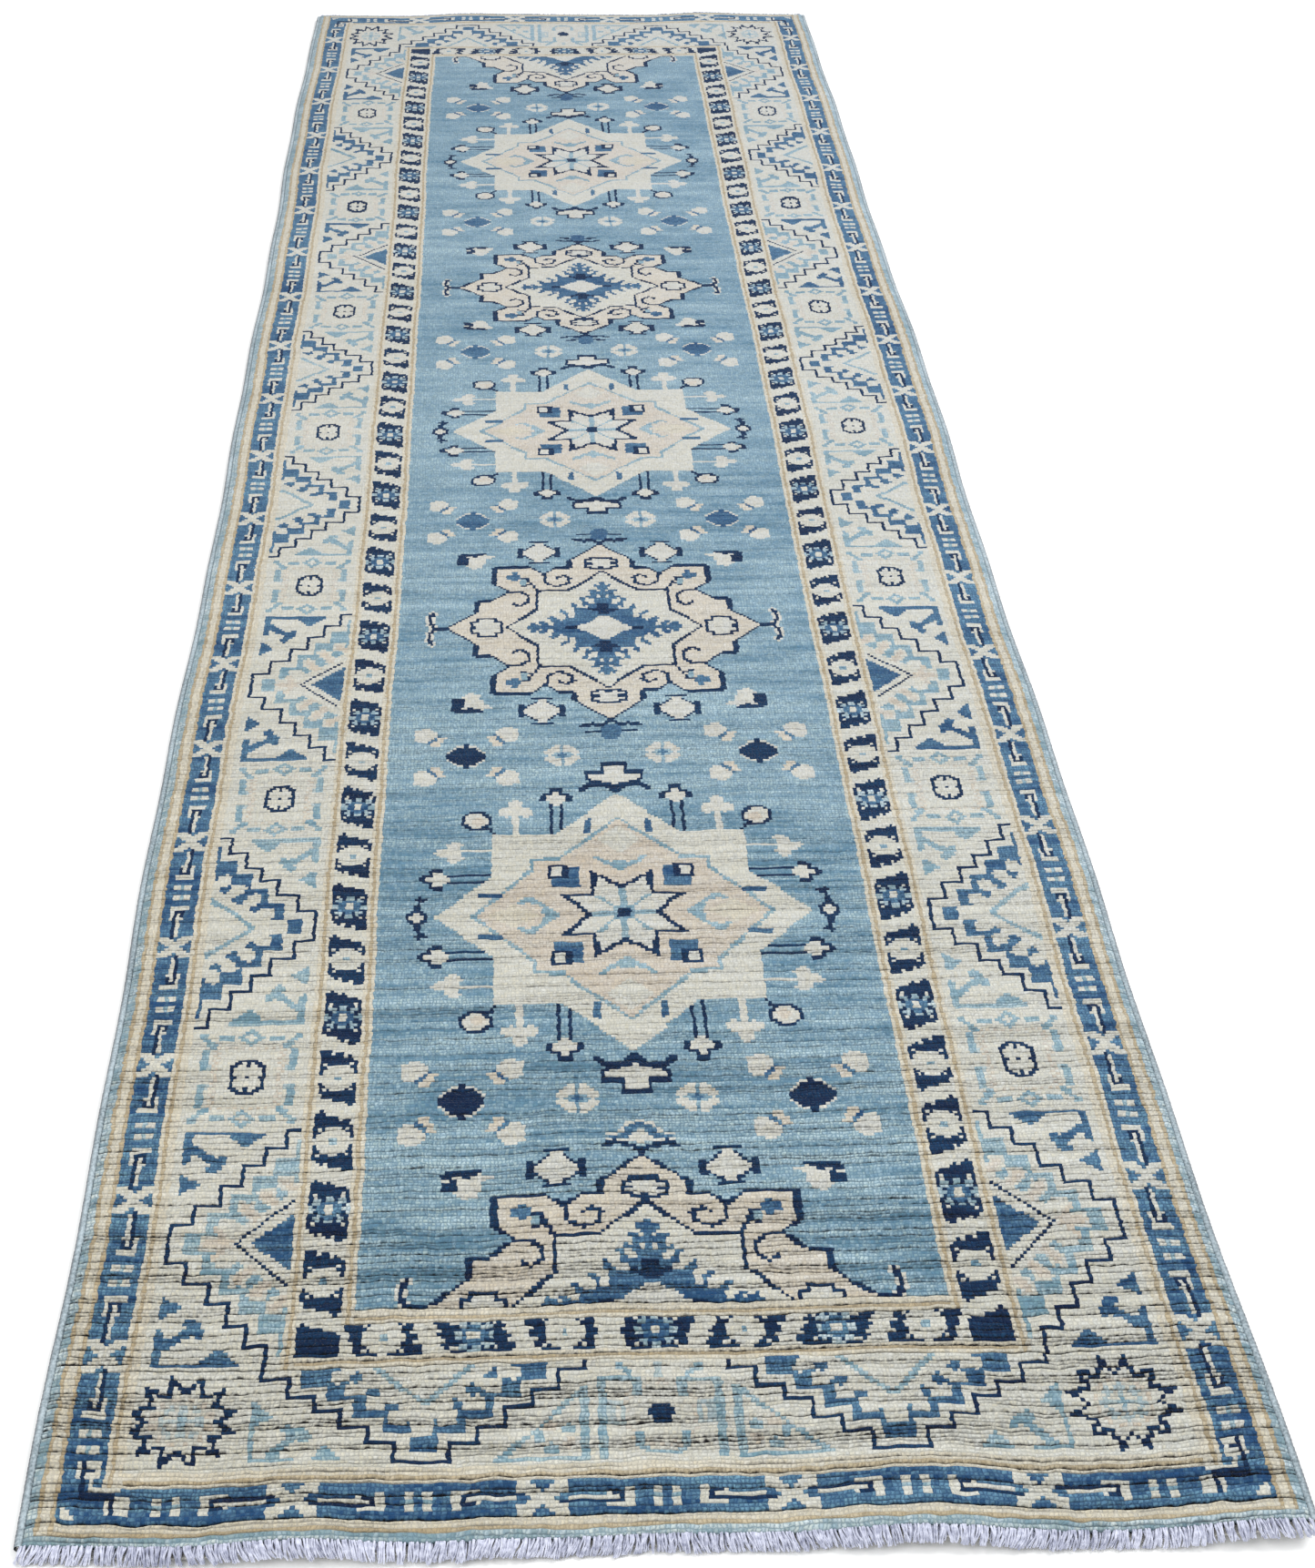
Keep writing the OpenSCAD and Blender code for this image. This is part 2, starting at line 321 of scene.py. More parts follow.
def draw_narrow():
    # the first and last bars of the sides leave plain navy squares at the corners
    start, stop = FIELD_LOW - 2.5, FIELD_HIGH + 2.5
    count = int((stop - start) / NARROW_PITCH)
    pitch = (stop - start) / count
    for side in FLANKS:
        pen = strip_pen(f"narrow_{side}")
        for k in range(count):
            # blue and ivory flowers take turns, except near the start
            yarn = "blue" if k == 1 or (k > 3 and k % 2 == 0) else "ivory"
            # the weaver ran ahead by up to half a repeat halfway along
            ahead = 11.5 * math.exp(-(((k - 18) / 7.5) ** 2))
            narrow_cell(pen, start + (k + 0.5) * pitch + ahead, pitch, yarn, lean=-0.42)
    for end in ENDS:
        pen = strip_pen(f"narrow_{end}")
        for k in range(-3, 4):
            yarn, lean = "ivory" if k % 2 else "blue", -0.35 if k < 0 else 0.35
            narrow_cell(pen, MIDDLE + NARROW_END_PITCH * k, NARROW_END_PITCH, yarn, lean)


# ------ main border

TRIANGLE = 38.0      # half length of a stepped triangle, in its own knots
MAIN_DEPTH = 31.0
END_DEPTH = 27       # depth of the main border at the near end, in its own knots

# where the panels of the side borders stand, by row
PANEL_ROWS = (138.5, 257.5, 379.5, 490.5, 598.5, 711.0, 830.5)
PANEL_HALF = 18.5
PANEL = 18.0         # half length of a panel, in its own knots

# the triangles of an end: their columns, the side that has no spandrel, and their half length
END_TRIANGLES = ((82.7, 1), (COLS - 83.4, -1))
END_TRIANGLE_HALF = 36.9


def stepped(s, t):
    """Inside a stepped triangle: t is the depth from its tip's side of the border."""
    step = np.ceil(np.maximum(s - 6.6, 0) / 6.25)
    return t >= 1.3 + 5.15 * step


def inner(area):
    """An area without the knots at its edge."""
    padded = np.pad(area, 1, mode="edge")
    rows, cols = area.shape
    shifts = [padded[r : r + rows, c : c + cols] for r in range(3) for c in range(3)]
    return np.all(shifts, axis=0)


# where the petals inside a triangle start, and their tips
PETALS = (
    (4.0, 18.4, 6.2, 14.2),
    (7.6, 22.0, 11.8, 18.4),
    (11.8, 26.4, 16.4, 23.0),
    (17.0, 31.0, 20.2, 27.4),
)


def triangle(pen, centre, half, depth, tip_out, leafy, corner_yarn, corner_s=37.4, bare=0):
    """A stepped triangle of the main border, with a spandrel beside it except on the bare side, 1 or -1."""
    part = part_of(pen, centre - half - 1, centre + half + 1)
    s = np.abs(part.s - centre) * TRIANGLE / half
    t = part.d * MAIN_DEPTH / depth
    if not tip_out:
        t = MAIN_DEPTH - t
    tri = Pen(part.cells, s, t)
    spandrel(tri, corner_yarn, corner_s)
    tri.paint((part.s - centre) * bare > 0, "ivory")
    steps = stepped(s, t)
    tri.paint(steps, "navy")
    tri.paint(inner(steps), "ivory")
    leaf = "teal" if leafy else "blue"
    tri.paint(stepped(s + 3.4, t - 3.4), leaf)
    # the light flower inside, its petals between the fingers of the leaves
    tri.fill([(0, 13), (3.4, 14.6), (6.4, 19.4), (9.8, 23.8), (14.4, 28.2), (18, 31.5), (0, 31.5)], "ivory")
    tri.block(0, 2.8, 9.0, 15.0, "ivory")
    for inner_s, inner_t, tip_s, tip_t in PETALS:
        tri.line([(inner_s, inner_t), (tip_s, tip_t)], "ivory", 3.3)
        tri.disc(tip_s - 1.9, tip_t + 0.1, 1.2, "ivory")
        tri.disc(tip_s + 0.3, tip_t + 1.8, 1.2, "ivory")
    if leafy:
        for inner_s, inner_t, tip_s, tip_t in PETALS[1:]:
            tri.line([(inner_s + 0.6, inner_t - 0.4), (tip_s - 0.4, tip_t + 0.3)], "blush", 2.3)
        tri.line([(0, 11.0), (0, 16.0)], "blush", 3.0)
        tri.line([(0, 15.6), (4.4, 12.8)], "blush", 1.7)
        tri.fill([(0, 16.2), (13.6, 31.5), (0, 31.5)], "ivory")
        dots = np.floor(part.s + part.d) % 2 == 0
        tri.paint(tri.near([(0, 16.6), (13.4, 31.5)], 1.3) & dots, "navy")
        tri.fill([(0, 20.8), (9.2, 31.5), (0, 31.5)], "blue")
    else:
        tri.line([(0, 18.8), (11.2, 31.0)], "teal", 1.5)


def spandrel(tri, yarn, corner_s):
    """The right-angled corner outside the steps: two legs, each with a peak, and a bud between them."""
    corner = Pen(tri.cells, corner_s - tri.s, tri.d - 2.1)
    corner.fill([(0, 0), (11.5, 0), (10.4, 1.7), (1.9, 1.7), (1.9, 20), (0, 20)], yarn)
    corner.fill([(1.5, 10.4), (6.3, 14.8), (1.5, 19.6)], yarn)
    corner.fill([(14.4, 0), (22.0, 0), (18.2, 4.8)], yarn)
    corner.line([(5.6, 1.2), (12.0, 9.2)], yarn, 2.4)
    corner.line([(9.8, 9.8), (13.6, 7.4)], yarn, 2.9)


def panel(pen, centre):
    """A square panel between triangles: faint broken squares round a dark ring."""
    part = part_of(pen, centre - PANEL_HALF, centre + PANEL_HALF)
    s, d = np.abs(part.s - centre) * PANEL / PANEL_HALF, np.abs(part.d - MAIN_DEPTH / 2)
    box = Pen(part.cells, s, d)
    dotted = (np.floor(s) + np.floor(d)) % 2 == 0
    box.paint((np.abs(np.maximum(s - 2.4, d) - 8.6) <= 0.6) & dotted, "blush")
    box.bar(14.0, 6.6, 1.1, 2.4, "teal")
    box.bar(6.4, 11.6, 3.6, 1.1, "teal")
    box.bar(3.6, 9.9, 1.2, 0.8, "faint")
    box.diamond(14.6, 0, 3.0, 3.6, "teal")
    box.diamond(14.6, 0, 1.2, 1.4, "ivory")
    box.line([(11.4, 9.4), (14.8, 12.6)], "teal", 2.0)
    box.octagon(6.4, 4.7, 8.8, "navy")
    box.octagon(4.9, 3.3, 6.3, "ivory")
    box.block(3.4, 5.0, 0, 0.6, "navy")
    box.block(0, 0.6, 2.4, 3.4, "navy")
    box.block(0, 0.6, 0, 0.6, "navy")


def end_panel(pen, depth):
    """Between an end's triangles: a dark spot in a faint ring, thin bars, and a flower in each spandrel."""
    part = part_of(pen, MIDDLE - 38, MIDDLE + 38)
    box = Pen(part.cells, np.abs(part.s - MIDDLE), part.d * END_DEPTH / depth)
    dotted = (np.floor(part.s) + np.floor(part.d)) % 2 == 0
    ring = np.abs(np.hypot(box.s, box.d - 12.6) - 8.2) <= 0.8
    box.paint(ring & dotted, "blush")
    box.line([(0, 2.2), (3.2, 2.6), (4.9, 4.4), (4.9, 8.0)], "teal")
    box.line([(4.9, 17.0), (4.9, 21.6), (13.0, 21.6), (13.0, 1.4)], "teal")
    box.line([(8.8, 10.4), (11.0, 10.4), (11.0, 15.8), (8.8, 15.8), (8.8, 10.4)], "faint")
    box.line([(6.4, 22.8), (9.6, 25.6)], "teal", 1.6)
    box.block(0, 1.4, 22.4, 25.6, "faint")
    box.line([(17.0, 19.6), (17.0, 1.4), (36.0, 1.4), (17.0, 19.6)], "teal")
    for k in range(5):
        angle = k * math.tau / 5
        yarn = ("teal", "blush")[k % 2]
        box.disc(23.4 + 3.6 * math.cos(angle), 7.4 + 3.2 * math.sin(angle), 1.4, yarn)
    box.disc(0, 12.6, 2.7, "navy")


def corner_rosette(corner):
    """A twelve-pointed flower in a corner panel."""
    c0, c1, r0, r1 = knots(f"corner_{corner}")
    cells, cols, rows = window(c0, c1, r0, r1)
    x = cols - (c0 + c1) / 2 + (4.6 if "left" in corner else -2)
    y = (rows - (r0 + r1) / 2) * END_DEPTH / (r1 - r0)
    points = []
    for k in range(24):
        reach, angle = (7.8, 12.0)[k % 2], k * math.tau / 24
        points.append((reach * math.cos(angle), reach * math.sin(angle)))
    Pen(cells, x, y).line(points + points[:1], "navy", 1.1)
    radius, turn = np.hypot(x, y), np.arctan2(y, x)
    pen = Pen(cells, np.abs(x), np.abs(y))
    pen.paint((np.abs(radius - 6.2) <= 0.8) & (np.cos(12 * turn) < 0), "blush")
    pen.paint((np.abs(radius - 4.2) <= 0.8) & (np.cos(8 * turn) > -0.6), "faint")
    pen.paint((np.minimum(pen.s, pen.d) <= 0.6) & (radius <= 4.0), "faint")
    pen.disc(0, 0, 1.3, "teal")


def draw_main():
    for side in FLANKS:
        pen = strip_pen(f"main_{side}")
        _, _, r0, r1 = knots(f"main_{side}")
        starts = [r0] + [row + PANEL_HALF for row in PANEL_ROWS]
        stops = [row - PANEL_HALF for row in PANEL_ROWS] + [r1]
        # outward and inward triangles take turns, and swap over at the middle panel
        outward = (True, False, True, False, False, True, False, True)
        for start, stop, out in zip(starts, stops, outward):
            centre, half = (start + stop) / 2, (stop - start) / 2
            triangle(pen, centre, half, MAIN_DEPTH, out, leafy=out, corner_yarn="blue" if out else "teal")
        for row in PANEL_ROWS:
            panel(pen, row)
    for end in ENDS:
        # the triangles and their outer spandrels reach into the corner boxes
        pen = strip_pen(f"main_{end}", beyond=8)
        _, _, r0, r1 = knots(f"main_{end}")
        for col, bare in END_TRIANGLES:
            triangle(pen, col, END_TRIANGLE_HALF, r1 - r0, True, False, "teal", corner_s=39.8, bare=bare)
        end_panel(pen, r1 - r0)
    for corner in CORNERS:
        corner_rosette(corner)


# ------ medallions

STAR = [(0, 57), (18, 37), (37, 37), (37, 18), (53, 0)]
HOOKED = [
    (0, 54), (11, 43), (11, 38), (16, 38), (20, 34), (25, 39), (37, 39),
    (37, 28), (32, 23), (38, 17), (43, 17), (43, 10), (53, 0),
]
ORIGIN = [(0, 0)]
MEDALLION_REACH = (66, 74)     # how far its sprigs and end pieces reach, across and along

# the row of each medallion, and how far it is stretched along the runner
STARS = {"star_1": (201, 1.0), "star_2": (490, 0.90), "star_3": (765, 0.98)}
HOOKEDS = {
    "hooked_1": (350, 1.0),
    "hooked_2": (621, 0.86),
    "half_hooked_near": (FIELD_LOW, 0.87),
    "half_hooked_far": (FIELD_HIGH, 1.03),
}


def bud(pen, s, d, out_s, out_d, dark):
    """A sprig: a stem back to the medallion and a lobed bud that points away from it."""

    def place(out, side):
        return s + out * out_s - side * out_d, d + out * out_d + side * out_s

    def spot(out, side, radius, yarn):
        pen.disc(*place(out, side), radius, yarn)

    def stem(side, start, stop, yarn, width):
        pen.line([place(start, side), place(stop, side)], yarn, width)

    if dark:
        for side in (-1.5, 1.5):
            stem(side, -2, -16, "navy", 1.1)
            spot(1.2, side * 2.1, 2.1, "navy")
        spot(4.4, 0, 2.2, "navy")
        for side in (-2.0, 2.0):
            spot(1.0, side, 1.4, "white")
        spot(3.2, 0, 1.5, "white")
    else:
        stem(0, 0, -12, "white", 1.5)
        for side in (-2.9, 2.9):
            spot(-0.4, side, 2.2, "white")
        spot(3.6, 0, 2.0, "white")
    spot(0.6, 0, 2.7, "white")


def sprigs(pen):
    """Buds off a star medallion's sides, a flower between them, and a clasp at each side point."""
    bud(pen, 18.0, 53.5, 0, 1, dark=True)
    bud(pen, 29.9, 48.0, 0, 1, dark=False)
    bud(pen, 48.0, 29.4, 1, 0, dark=False)
    bud(pen, 51.4, 17.0, 1, 0, dark=True)
    pen.line([(36.5, 37.5), (39, 40.5)], "navy", 1.2)
    pen.disc(41.6, 43.6, 4.7, "navy")
    pen.disc(41.6, 43.6, 3.5, "white")
    pen.disc(41.0, 43.0, 2.0, "blush")
    pen.disc(58.0, 0, 3.4, "navy")
    pen.disc(58.0, 0, 2.1, "white")
    pen.line([(58.0, 3.2), (57.2, 8.6)], "navy", 1.9)
    pen.line([(56.0, 8.6), (58.6, 8.8)], "navy", 1.2)


def finial(pen):
    """The cross that stands off a star medallion's end points."""
    pen.line([(10.0, 59.0), (7.0, 61.6), (2.0, 60.2), (0, 58.2)], "navy", 2.0)
    cross = [(0, 60.2), (2.5, 61.2), (8.8, 62.6), (8.8, 67.6), (4.4, 67.6), (4.4, 71.7), (0, 71.7)]
    pen.fill(cross, "navy")
    heart = [(0, 61.0), (2.0, 62.0), (7.6, 63.6), (7.6, 66.4), (3.3, 66.4), (3.3, 70.4), (0, 70.4)]
    pen.fill(heart, "white")


def star_medallion(row, pull):
    pen = pen_at(MIDDLE, row, *MEDALLION_REACH, pull)
    sprigs(pen)
    finial(pen)
    pen.fill(ORIGIN + STAR, "ivory")
    rim = [(0, 44.8), (16, 28), (18, 25.6), (26.2, 25.4), (26.2, 20.2), (43, 0)]
    pen.fill(ORIGIN + rim, "teal")
    heart = [(0, 43.2), (15.2, 27), (17.5, 24.4), (25.1, 24.3), (25.1, 19.8), (41.4, 0)]
    pen.fill(ORIGIN + heart, "blush")
    pen.diamond(0, 34, 6.5, 6.0, "ivory")
    pen.diamond(31, 0, 7.5, 5.0, "beige")
    # chevrons towards the middle
    pen.line([(7.5, 25.6), (3.4, 22.6), (0, 19.6)], "teal", 1.7)
    pen.fill([(0, 20), (3.4, 23.2), (0, 24.2)], "teal")
    pen.line([(27, 7.6), (22.8, 4.5), (18.8, 0)], "teal", 1.7)
    pen.line([(27, 7.6), (29, 5.6)], "teal", 1.2)
    pen.fill([(19, 0), (22.8, 3.2), (22.4, 0)], "teal")
    # darts in the points
    pen.line([(8.6, 37.6), (8.6, 42.8)], "blue", 1.9)
    pen.line([(34.8, 8.8), (40.4, 8.8)], "blue", 1.9)
    # the four dark-cornered squares
    pen.block(12.4, 20.2, 12.4, 20.8, "blue")
    pen.block(15.4, 21.2, 15.8, 21.8, "navy")
    pen.block(16.6, 20.0, 17.0, 20.6, "white")
    # the eight-pointed flower
    pen.fill(ORIGIN + [(0, 12.6), (8.6, 19), (8.9, 9.4), (17.8, 8.8), (10.6, 0)], "navy")
    pen.fill(ORIGIN + [(0, 11.0), (7.4, 16.2), (7.6, 8.0), (14.6, 7.5), (9.0, 0)], "white")
    for tip, width in (((0, 10.6), 1.2), ((8.6, 0), 1.2), ((7.6, 8.0), 1.0)):
        pen.line(ORIGIN + [tip], "teal", width)
    pen.disc(0, 0, 3.0, "sky")
    pen.block(0, 2.0, 0, 2.2, "navy")


def lobed(pen, s, d, half_s, half_d):
    """A small lobed flower with a dark outline."""
    for grow, yarn in ((1.25, "navy"), (0.0, "white")):
        for share_s, share_d in ((0.55, 1), (1, 0.55)):
            pen.bar(s, d, half_s * share_s + grow, half_d * share_d + grow, yarn)
    pen.block(s - 0.5, s + 0.5, d - half_d - 0.4, d - half_d + 1.2, "navy")
    pen.block(s + half_s - 1.2, s + half_s + 0.4, d - 0.5, d + 0.5, "navy")


def leaf_ring(pen):
    """The ring of spiky blue leaves in the heart of a hooked medallion."""
    # leaves along the slanting side of the ring, then those along its two arms
    for k in range(5):
        s, d = 1.5 + 2.7 * k, 15.2 - 3.2 * k
        lean = (k - 1.6) * 0.9
        pen.fill([(s - 2.2, d - 1.2), (s + 3.4 + lean, d + 6.4 - lean), (s + 1.9, d - 2.6)], "blue")
        pen.line([(s, d - 1.5), (s + 3.4 + lean, d + 5.6 - lean)], "blue", 1.7)
    pen.fill([(0, 16.5), (5, 14.5), (13.4, 5.0), (14.5, 0), (0, 0)], "blue")
    pen.block(0, 1.1, 14, 28.5, "blue")
    for d, reach in ((18.0, 5.4), (22.0, 3.8), (25.4, 2.6)):
        pen.line([(0, d - 1.4), (reach, d + 1.6)], "blue", 1.7)
    pen.block(12, 25.6, 0, 0.9, "blue")
    for s, reach in ((15.6, 4.6), (19.4, 3.2), (22.6, 2.2)):
        pen.line([(s - 1.0, 0), (s + 1.8, reach)], "blue", 1.7)
    pen.block(0, 1.7, 8.4, 15.0, "navy")
    pen.line([(0, 9.4), (4.4, 11.6)], "navy", 1.7)
    pen.block(9.5, 13.4, 0, 1.3, "navy")
    pen.disc(5.6, 12.6, 1.1, "white")
    pen.disc(10.9, 6.6, 1.1, "white")
    pen.diamond(0, 0, 9.45, 7.77, "white")


def palmette(pen):
    """The bud that stands off a hooked medallion's end points."""
    pen.line([(8.8, 57.6), (5.8, 56.2), (2.6, 57.4), (0, 54.6)], "navy", 1.8)
    pen.line([(7.2, 60.8), (3.8, 60.2)], "navy", 1.5)
    pen.paint(np.hypot(pen.s / 3.1, (pen.d - 61) / 4.4) <= 1, "blue")


def winged_bud(pen):
    """A light diamond on dark wings under a blue hood, in place of the palmette at the near end."""
    pen.line([(8.6, 61.6), (4.6, 62.4), (3.6, 65.6), (0, 67.2)], "white", 1.1)
    pen.line([(3.6, 61.0), (7.6, 60.6)], "blue", 1.2)
    pen.line([(3.4, 60.6), (2.9, 64.0), (0, 65.6)], "blue", 1.8)
    pen.line([(2.6, 59.4), (8.6, 59.6)], "white", 1.1)
    pen.line([(0, 55.2), (2.2, 56.8), (6.4, 58.3), (8.8, 57.0)], "navy", 2.0)
    pen.diamond(0, 60.4, 3.2, 3.9, "white")


def dark_cross(pen, s, d):
    """A light diamond held between four dark bars."""
    pen.diamond(s, d, 7.6, 7.6, "navy")
    pen.diamond(s, d, 6.2, 6.2, "white")
    for way in (-1, 1):
        pen.bar(s, d + way * 6.8, 3.6, 0.7, "navy")
        pen.bar(s + way * 6.6, d, 0.7, 3.6, "navy")
        pen.bar(s, d + way * 5.2, 1.1, 0.9, "white")
        pen.bar(s + way * 5.0, d, 0.9, 1.1, "white")


def bird(pen):
    """The two-coloured blossom off a hooked medallion's corners."""
    light = [(37, 46.6), (40, 44.4), (41, 39.5), (44, 37.6), (46, 40), (49, 42), (47, 46), (41, 48)]
    pen.fill(light, "white")
    dark = [(40.2, 49.4), (48.8, 49.4), (50.4, 46.0), (49.6, 40.8), (46.2, 41.4), (45.4, 46.2), (40.8, 46.8)]
    pen.fill(dark, "navy")
    pen.disc(45.6, 46.4, 1.1, "white")
    pen.disc(49.0, 45.0, 0.7, "white")


def fork(pen):
    """The forked tail at a hooked medallion's side points."""
    for yarn, width in (("white", 2.9), ("navy", 1.3)):
        pen.line([(53, 0), (57.4, 0), (58.6, 4.6), (57.8, 9.2)], yarn, width)


def hooked_medallion(row, pull, tip):
    pen = pen_at(MIDDLE, row, *MEDALLION_REACH, pull)
    tip(pen)
    fork(pen)
    dark_cross(pen, 21.5, 48.5)
    bird(pen)
    pen.fill(ORIGIN + HOOKED, "pink")
    pen.line(HOOKED, "navy", 1.1)
    curl = [(20, 34), (19, 28.6), (15.8, 26.2), (12.0, 28.2), (10.8, 31.6), (13.2, 33.6), (15.4, 32.0)]
    pen.line(curl, "navy", 1.2)
    pen.line([(32, 22.6), (28, 22.4), (25.3, 19.6), (25.5, 15.8), (28.6, 13.4), (30.8, 15.4)], "navy", 1.2)
    inner = [(0, 36), (11.7, 23.6), (22.2, 23), (22.2, 11.4), (33, 0)]
    pen.fill(ORIGIN + inner, "ivory")
    pen.line(inner, "navy", 1.1)
    pen.line([(22.2, 23), (24.6, 28.4), (27.2, 26.6)], "navy", 1.1)
    pen.block(25.6, 28.4, 27.4, 31, "teal")
    pen.line([(24.8, 27), (25.2, 31.6), (28.8, 31.6)], "navy", 1.0)
    pen.block(28.2, 33.0, 31.0, 34.4, "blue")
    pen.block(29.4, 31.4, 30.0, 36.2, "blue")
    lobed(pen, 0, 41.0, 4.6, 3.2)
    lobed(pen, 39.6, 0, 4.2, 5.0)
    leaf_ring(pen)


# ------ small flowers in the field

# the rows between medallions, where the small flowers stand
GAP_ROWS = (127.5, 277.5, 421.5, 558.5, 691.5, 837.5)


def dark_flower(col, row):
    """A dark diamond, with a pair of petals on each diagonal."""
    pen = pen_at(col, row, 18, 18)
    yarn = "navy" if row < 0.4 * ROWS else "blue"
    pen.octagon(6.2, 5.6, 8.0, "white")
    pen.octagon(5.6, 4.8, 7.2, yarn)
    pen.block(0, 0.9, 4, 6.8, yarn)
    pen.disc(12.6, 11.4, 3.9, "white")
    pen.fill([(6.4, 10.2), (10.6, 10.2), (10.6, 5.8), (8.4, 5.2)], "pink")
    pen.line([(8.2, 11.2), (11.8, 7.2)], "denim", 1.1)


def small_rosette(col, row):
    pen = pen_at(col, row, 8, 8)
    pen.disc(1.9, 3.9, 1.5, "white")
    pen.disc(4.1, 1.3, 1.4, "white")
    pen.block(0.9, 2.2, 1.2, 2.2, "white")
    pen.disc(3.9, 3.2, 0.8, "pink")
    pen.disc(0, 0, 1.2, "blue")


def draw_field():
    for side in FLANKS:
        strip_pen(f"field_{side}").paint(..., "sky")
    for row in GAP_ROWS:
        for way in (-1, 1):
            dark_flower(MIDDLE + way * 45, row)
            small_rosette(MIDDLE + way * 15.5, row)
    for row, pull in STARS.values():
        star_medallion(row, pull)
    for node, (row, pull) in HOOKEDS.items():
        hooked_medallion(row, pull, winged_bud if node == "half_hooked_near" else palmette)


draw_grounds()
draw_lines()
draw_guard()
draw_narrow()
draw_main()
draw_field()

# ------ how the runner lies

NEAR_END = GROUND[0][1]
FAR_END = GROUND[1][1]
HALF_WIDTH = GROUND[1][0]

# lifted places along the near end: across the runner, width, height, reach inwards
RIPPLES = (
    (-0.235, 0.055, 0.0060, 0.075),
    (-0.110, 0.035, 0.0030, 0.050),
    (0.165, 0.060, 0.0055, 0.080),
    (0.385, 0.050, 0.0070, 0.110),
)
END_REACH = 0.30       # how far in from an end its edge's waves die away
SKEW = 0.0125          # how far the right corner of the near end runs on past the left one
SKEW_REACH = 0.18


def waves(value, *terms):
    """Sum of slow waves, each with a size, a length and a start."""
    total = np.zeros_like(value)
    for size, length, start in terms:
        total += size * np.sin(math.tau * value / length + start)
    return total


def lay(points):
    """Points of the flat runner, moved to where it lies on the floor."""
    x, y, z = points.T
    edge = np.abs(x) / HALF_WIDTH
    from_near = np.clip((y - NEAR_END) / END_REACH, -0.1, None)
    from_far = np.clip((FAR_END - y) / END_REACH, -0.1, None)
    lift = 0.0006 * (1 + waves(x + 0.3 * y, (1, 0.31, 0.4)) * waves(y, (1, 0.47, 1.0)))
    for place, width, height, reach in RIPPLES:
        lift += height * np.exp(-(((x - place) / width) ** 2) - ((y - NEAR_END) / reach) ** 2)
    for place, width, height, reach in RIPPLES[::2]:
        lift += 0.4 * height * np.exp(-(((x + place) / width) ** 2) - ((y - FAR_END) / reach) ** 2)
    sideways = edge * waves(y, (0.0014, 0.83, 0.6), (0.0008, 0.27, 2.0)) * np.sign(x)
    sideways += waves(y, (0.0012, 1.70, 1.2))
    near_wave = waves(x, (0.0018, 0.52, 0.9), (0.0008, 0.19, 2.4)) * np.exp(-from_near)
    far_wave = waves(x, (0.0016, 0.61, 2.2), (0.0007, 0.21, 0.3)) * np.exp(-from_far)
    row_wave = waves(x, (0.0007, 0.37, 0.0), (0.0004, 0.13, 1.0)) * waves(y, (1, 0.9, 0.5))
    skew = SKEW * (1 + x / HALF_WIDTH) / 2 * np.exp(-(((y - NEAR_END) / SKEW_REACH) ** 2))
    return np.stack([x + sideways, y + near_wave + far_wave + row_wave - skew, z + lift], axis=1)


def smooth_noise(shape, cell_r, cell_c):
    """Random field from -1 to 1 that changes over cell_r rows and cell_c columns."""
    rows, cols = shape
    coarse = chance.uniform(-1, 1, (int(rows / cell_r) + 3, int(cols / cell_c) + 3))
    at_r, at_c = np.arange(rows) / cell_r, np.arange(cols) / cell_c
    r, c = at_r.astype(int), at_c.astype(int)
    fr, fc = at_r - r, at_c - c
    fr, fc = fr * fr * (3 - 2 * fr), fc * fc * (3 - 2 * fc)
    top = coarse[r][:, c] * (1 - fc) + coarse[r][:, c + 1] * fc
    bottom = coarse[r + 1][:, c] * (1 - fc) + coarse[r + 1][:, c + 1] * fc
    return top * (1 - fr[:, None]) + bottom * fr[:, None]


# how open the rows are, at each row line: the pile parts most at the near end
ROW_SHARE = np.arange(ROWS + 1) / ROWS
WEAR = np.interp(
    ROW_SHARE,
    (0, 0.07, 0.14, 0.22, 0.35, 0.5, 1),
    (0.95, 0.88, 0.55, 0.38, 0.24, 0.12, 0.05),
)


def dye_tone():
    """How faded the dye is at each knot, from 0 to 1: in bands of rows, in streaks, and knot by knot."""
    wear = WEAR[:-1, None]
    tone = 0.22 * smooth_noise(chart.shape, 26, 150)
    tone += 0.50 * smooth_noise(chart.shape, 1.4, 30) * wear**0.35
    tone += 0.20 * smooth_noise(chart.shape, 5, 12)
    tone += chance.uniform(-1, 1, chart.shape) * (0.14 + 0.16 * wear)
    tone -= 0.22 * np.exp(-np.arange(ROWS) / 30)[:, None]
    # the two pinks fade to ivory towards the far end
    pinks = np.isin(chart, (CODE["pink"], CODE["blush"]))
    tone += pinks * 0.7 * np.maximum(ROW_SHARE[:-1, None] - 0.1, 0)
    return np.clip(0.5 + tone, 0, 1)


def row_gaps():
    """How far the pile parts between rows, from 0 to 1, at each row line and column line."""
    shape = (ROWS + 1, COLS + 1)
    every_other = np.where(np.arange(ROWS + 1) % 2, 0.3, -0.3)[:, None]
    parting = 0.50 * smooth_noise(shape, 0.5, 60) + 0.25 * smooth_noise(shape, 0.5, 12)
    parting += every_other + 0.45 * chance.uniform(-1, 1, (ROWS + 1, 1))
    return WEAR[:, None] * np.clip(0.22 + 0.95 * parting, 0.05, 1)


TONE = dye_tone()
GAPS = row_gaps()


ROW_DIP = 0.0008       # between two rows that stay together
GAP_DEPTH = 0.0026     # and how much deeper where they part
RIM_DROP = 0.0022      # how much lower the pile is at the outside edges, over the last few knots
RIM_KNOTS = 2.5


